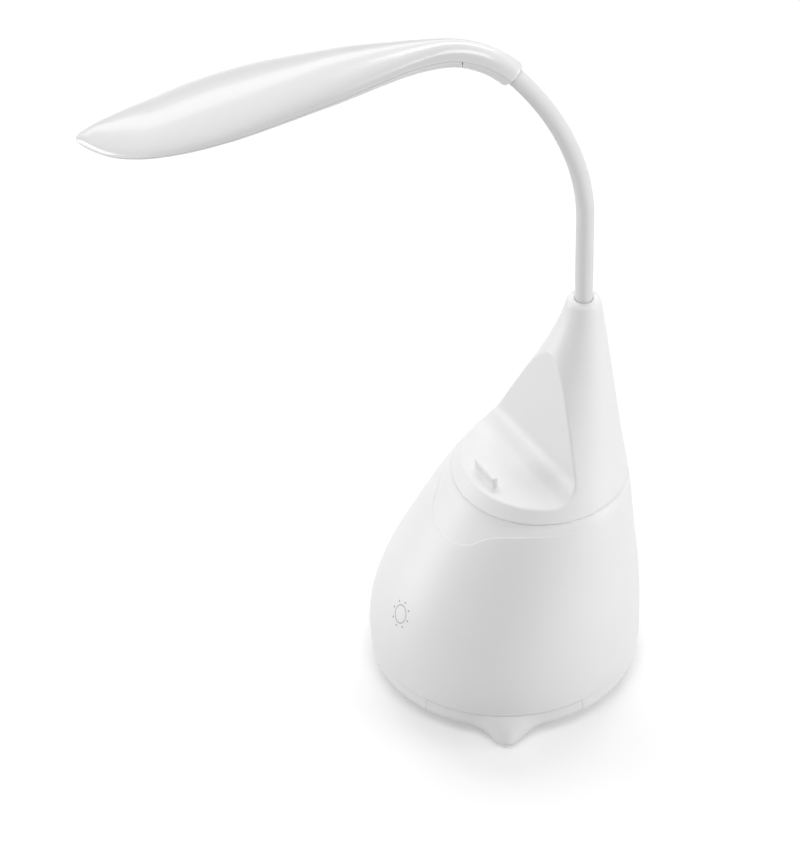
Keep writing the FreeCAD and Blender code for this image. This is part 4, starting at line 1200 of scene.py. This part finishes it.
# ---------------- stage
class LAMP_OT_stage(bpy.types.Operator):
    """Pale floor, even studio light and the camera"""

    bl_idname = "lamp.stage"
    bl_label = "Stage"

    def area(self, name, place, size, watts):
        lamp = add(name, bpy.ops.object.light_add, type="AREA", location=place)
        lamp.data.shape = "RECTANGLE"
        lamp.data.size, lamp.data.size_y = size
        lamp.data.energy = watts
        way = Vector(LAMPS_AIM) - place
        lamp.rotation_euler = way.to_track_quat("-Z", "Y").to_euler()

    def floor(self, stage):
        piece = add("floor", bpy.ops.mesh.primitive_circle_add, vertices=96, radius=FLOOR_R, fill_type="NGON")
        edit(piece)
        bpy.ops.mesh.inset(thickness=FLOOR_BORDER)
        object_mode()
        paint = Paint("pale_floor", {"Roughness": 0.9, "Specular IOR Level": 0.0})
        cloud = paint.noise(1.5)
        tone = paint.between(cloud, shade(stage.floor, 0.998), stage.floor)
        seen = paint.node("ShaderNodeClamp", None, {0: paint.ray("Camera") + paint.ray("Glossy")
                                                    + paint.ray("Transmission")})
        paint.surface({"Base Color": tone, "Emission Color": (1, 1, 1, 1),
                       "Emission Strength": seen * stage.glow})
        dress(piece, paint.material)

    def world(self, stage):
        world = bpy.data.worlds.new("studio")
        bpy.context.scene.world = world
        world.use_nodes = True
        web = Web(world.node_tree)
        seen = web.node("ShaderNodeMath", {"operation": "MAXIMUM"}, {
            0: web.ray("Camera"), 1: web.ray("Transmission")})
        strength = web.node("ShaderNodeMapRange", None, {"Value": seen, "To Min": stage.world, "To Max": 1.0})
        background = web.tree.nodes["Background"]
        web.feed(background.inputs["Strength"], strength)
        web.feed(background.inputs["Color"], (1, 1, 1, 1))

    def camera(self, stage, right, level):
        """Camera whose middle is turned off the aim, so that the aim falls on PRINCIPAL."""
        away = level * math.cos(stage.elevation) + Vector((0, 0, math.sin(stage.elevation)))
        up = away.cross(right)
        place = Vector((0, 0, stage.aim_h)) + away * stage.distance
        across = (PICTURE_W / 2 - PRINCIPAL[0]) / FOCAL_PX
        down = (PICTURE_H / 2 - PRINCIPAL[1]) / FOCAL_PX
        look = (-away + right * across - up * down).normalized()
        right = (right - look * right.dot(look)).normalized()
        up = right.cross(look)
        camera = add("view_camera", bpy.ops.object.camera_add, location=place)
        camera.matrix_world = Matrix((
            (right.x, up.x, -look.x, place.x), (right.y, up.y, -look.y, place.y),
            (right.z, up.z, -look.z, place.z), (0, 0, 0, 1)))
        camera.data.sensor_width = SENSOR_MM
        camera.data.lens = FOCAL_PX * SENSOR_MM / PICTURE_H
        bpy.context.scene.camera = camera

    def execute(self, context):
        stage = context.scene.lamp_stage
        right = Vector((math.cos(stage.azimuth), math.sin(stage.azimuth), 0))
        level = Vector((right.y, -right.x, 0))      # towards the camera
        self.floor(stage)
        self.world(stage)
        self.camera(stage, right, level)
        # each lamp: to the camera's right, towards the camera and up; its sides; its power
        lamps = (("left_lamp", (-1.2, -0.1, 0.2), (0.6, 0.35), stage.left_power),
                 ("right_lamp", (1.2, 0.2, 0.4), (0.7, 0.7), stage.right_power),
                 ("front_lamp", (0.0, 0.8, 1.5), (1.0, 0.6), stage.front_power),
                 ("back_lamp", (0.0, -0.9, 1.5), (1.6, 0.5), stage.back_power),
                 ("strip_lamp", (-0.3, -1.5, 0.78), (2.4, 0.36), stage.strip_power))
        for name, (sideways, nearer, up), size, watts in lamps:
            self.area(name, right * sideways + level * nearer + Vector((0, 0, up)), size, watts)
        context.scene.view_settings.view_transform = "Standard"
        return {"FINISHED"}


# ---------------- sidebar
STEPS = (LAMP_OT_stage, LAMP_OT_base_pan, LAMP_OT_drawer, LAMP_OT_lower_bowl, LAMP_OT_touch_mark,
         LAMP_OT_upper_cone, LAMP_OT_neck, LAMP_OT_head_shell, LAMP_OT_head_bezel, LAMP_OT_inner_parts)


class LAMP_PT_panel(bpy.types.Panel):
    """The lamp's sizes and the steps that build it"""

    bl_idname = "LAMP_PT_panel"
    bl_label = "Desk lamp"
    bl_space_type = "VIEW_3D"
    bl_region_type = "UI"
    bl_category = "Lamp"

    def draw(self, context):
        for key, group in SETTINGS.items():
            box = self.layout.box()
            for name in group.__annotations__:
                box.prop(getattr(context.scene, key), name)
        for step in STEPS:
            self.layout.operator(step.bl_idname)


def register():
    for key, group in SETTINGS.items():
        bpy.utils.register_class(group)
        setattr(bpy.types.Scene, key, PointerProperty(type=group))
    for step in STEPS + (LAMP_PT_panel,):
        bpy.utils.register_class(step)


def unregister():
    for step in reversed(STEPS + (LAMP_PT_panel,)):
        bpy.utils.unregister_class(step)
    for key, group in SETTINGS.items():
        delattr(bpy.types.Scene, key)
        bpy.utils.unregister_class(group)


def main():
    register()
    bpy.ops.lamp.stage()
    bpy.ops.lamp.base_pan()
    bpy.ops.lamp.drawer()
    bpy.ops.lamp.lower_bowl()
    bpy.ops.lamp.touch_mark()
    bpy.ops.lamp.upper_cone()
    bpy.ops.lamp.neck()
    bpy.ops.lamp.head_shell()
    bpy.ops.lamp.head_bezel()
    bpy.ops.lamp.inner_parts()


if __name__ == "__main__":
    main()
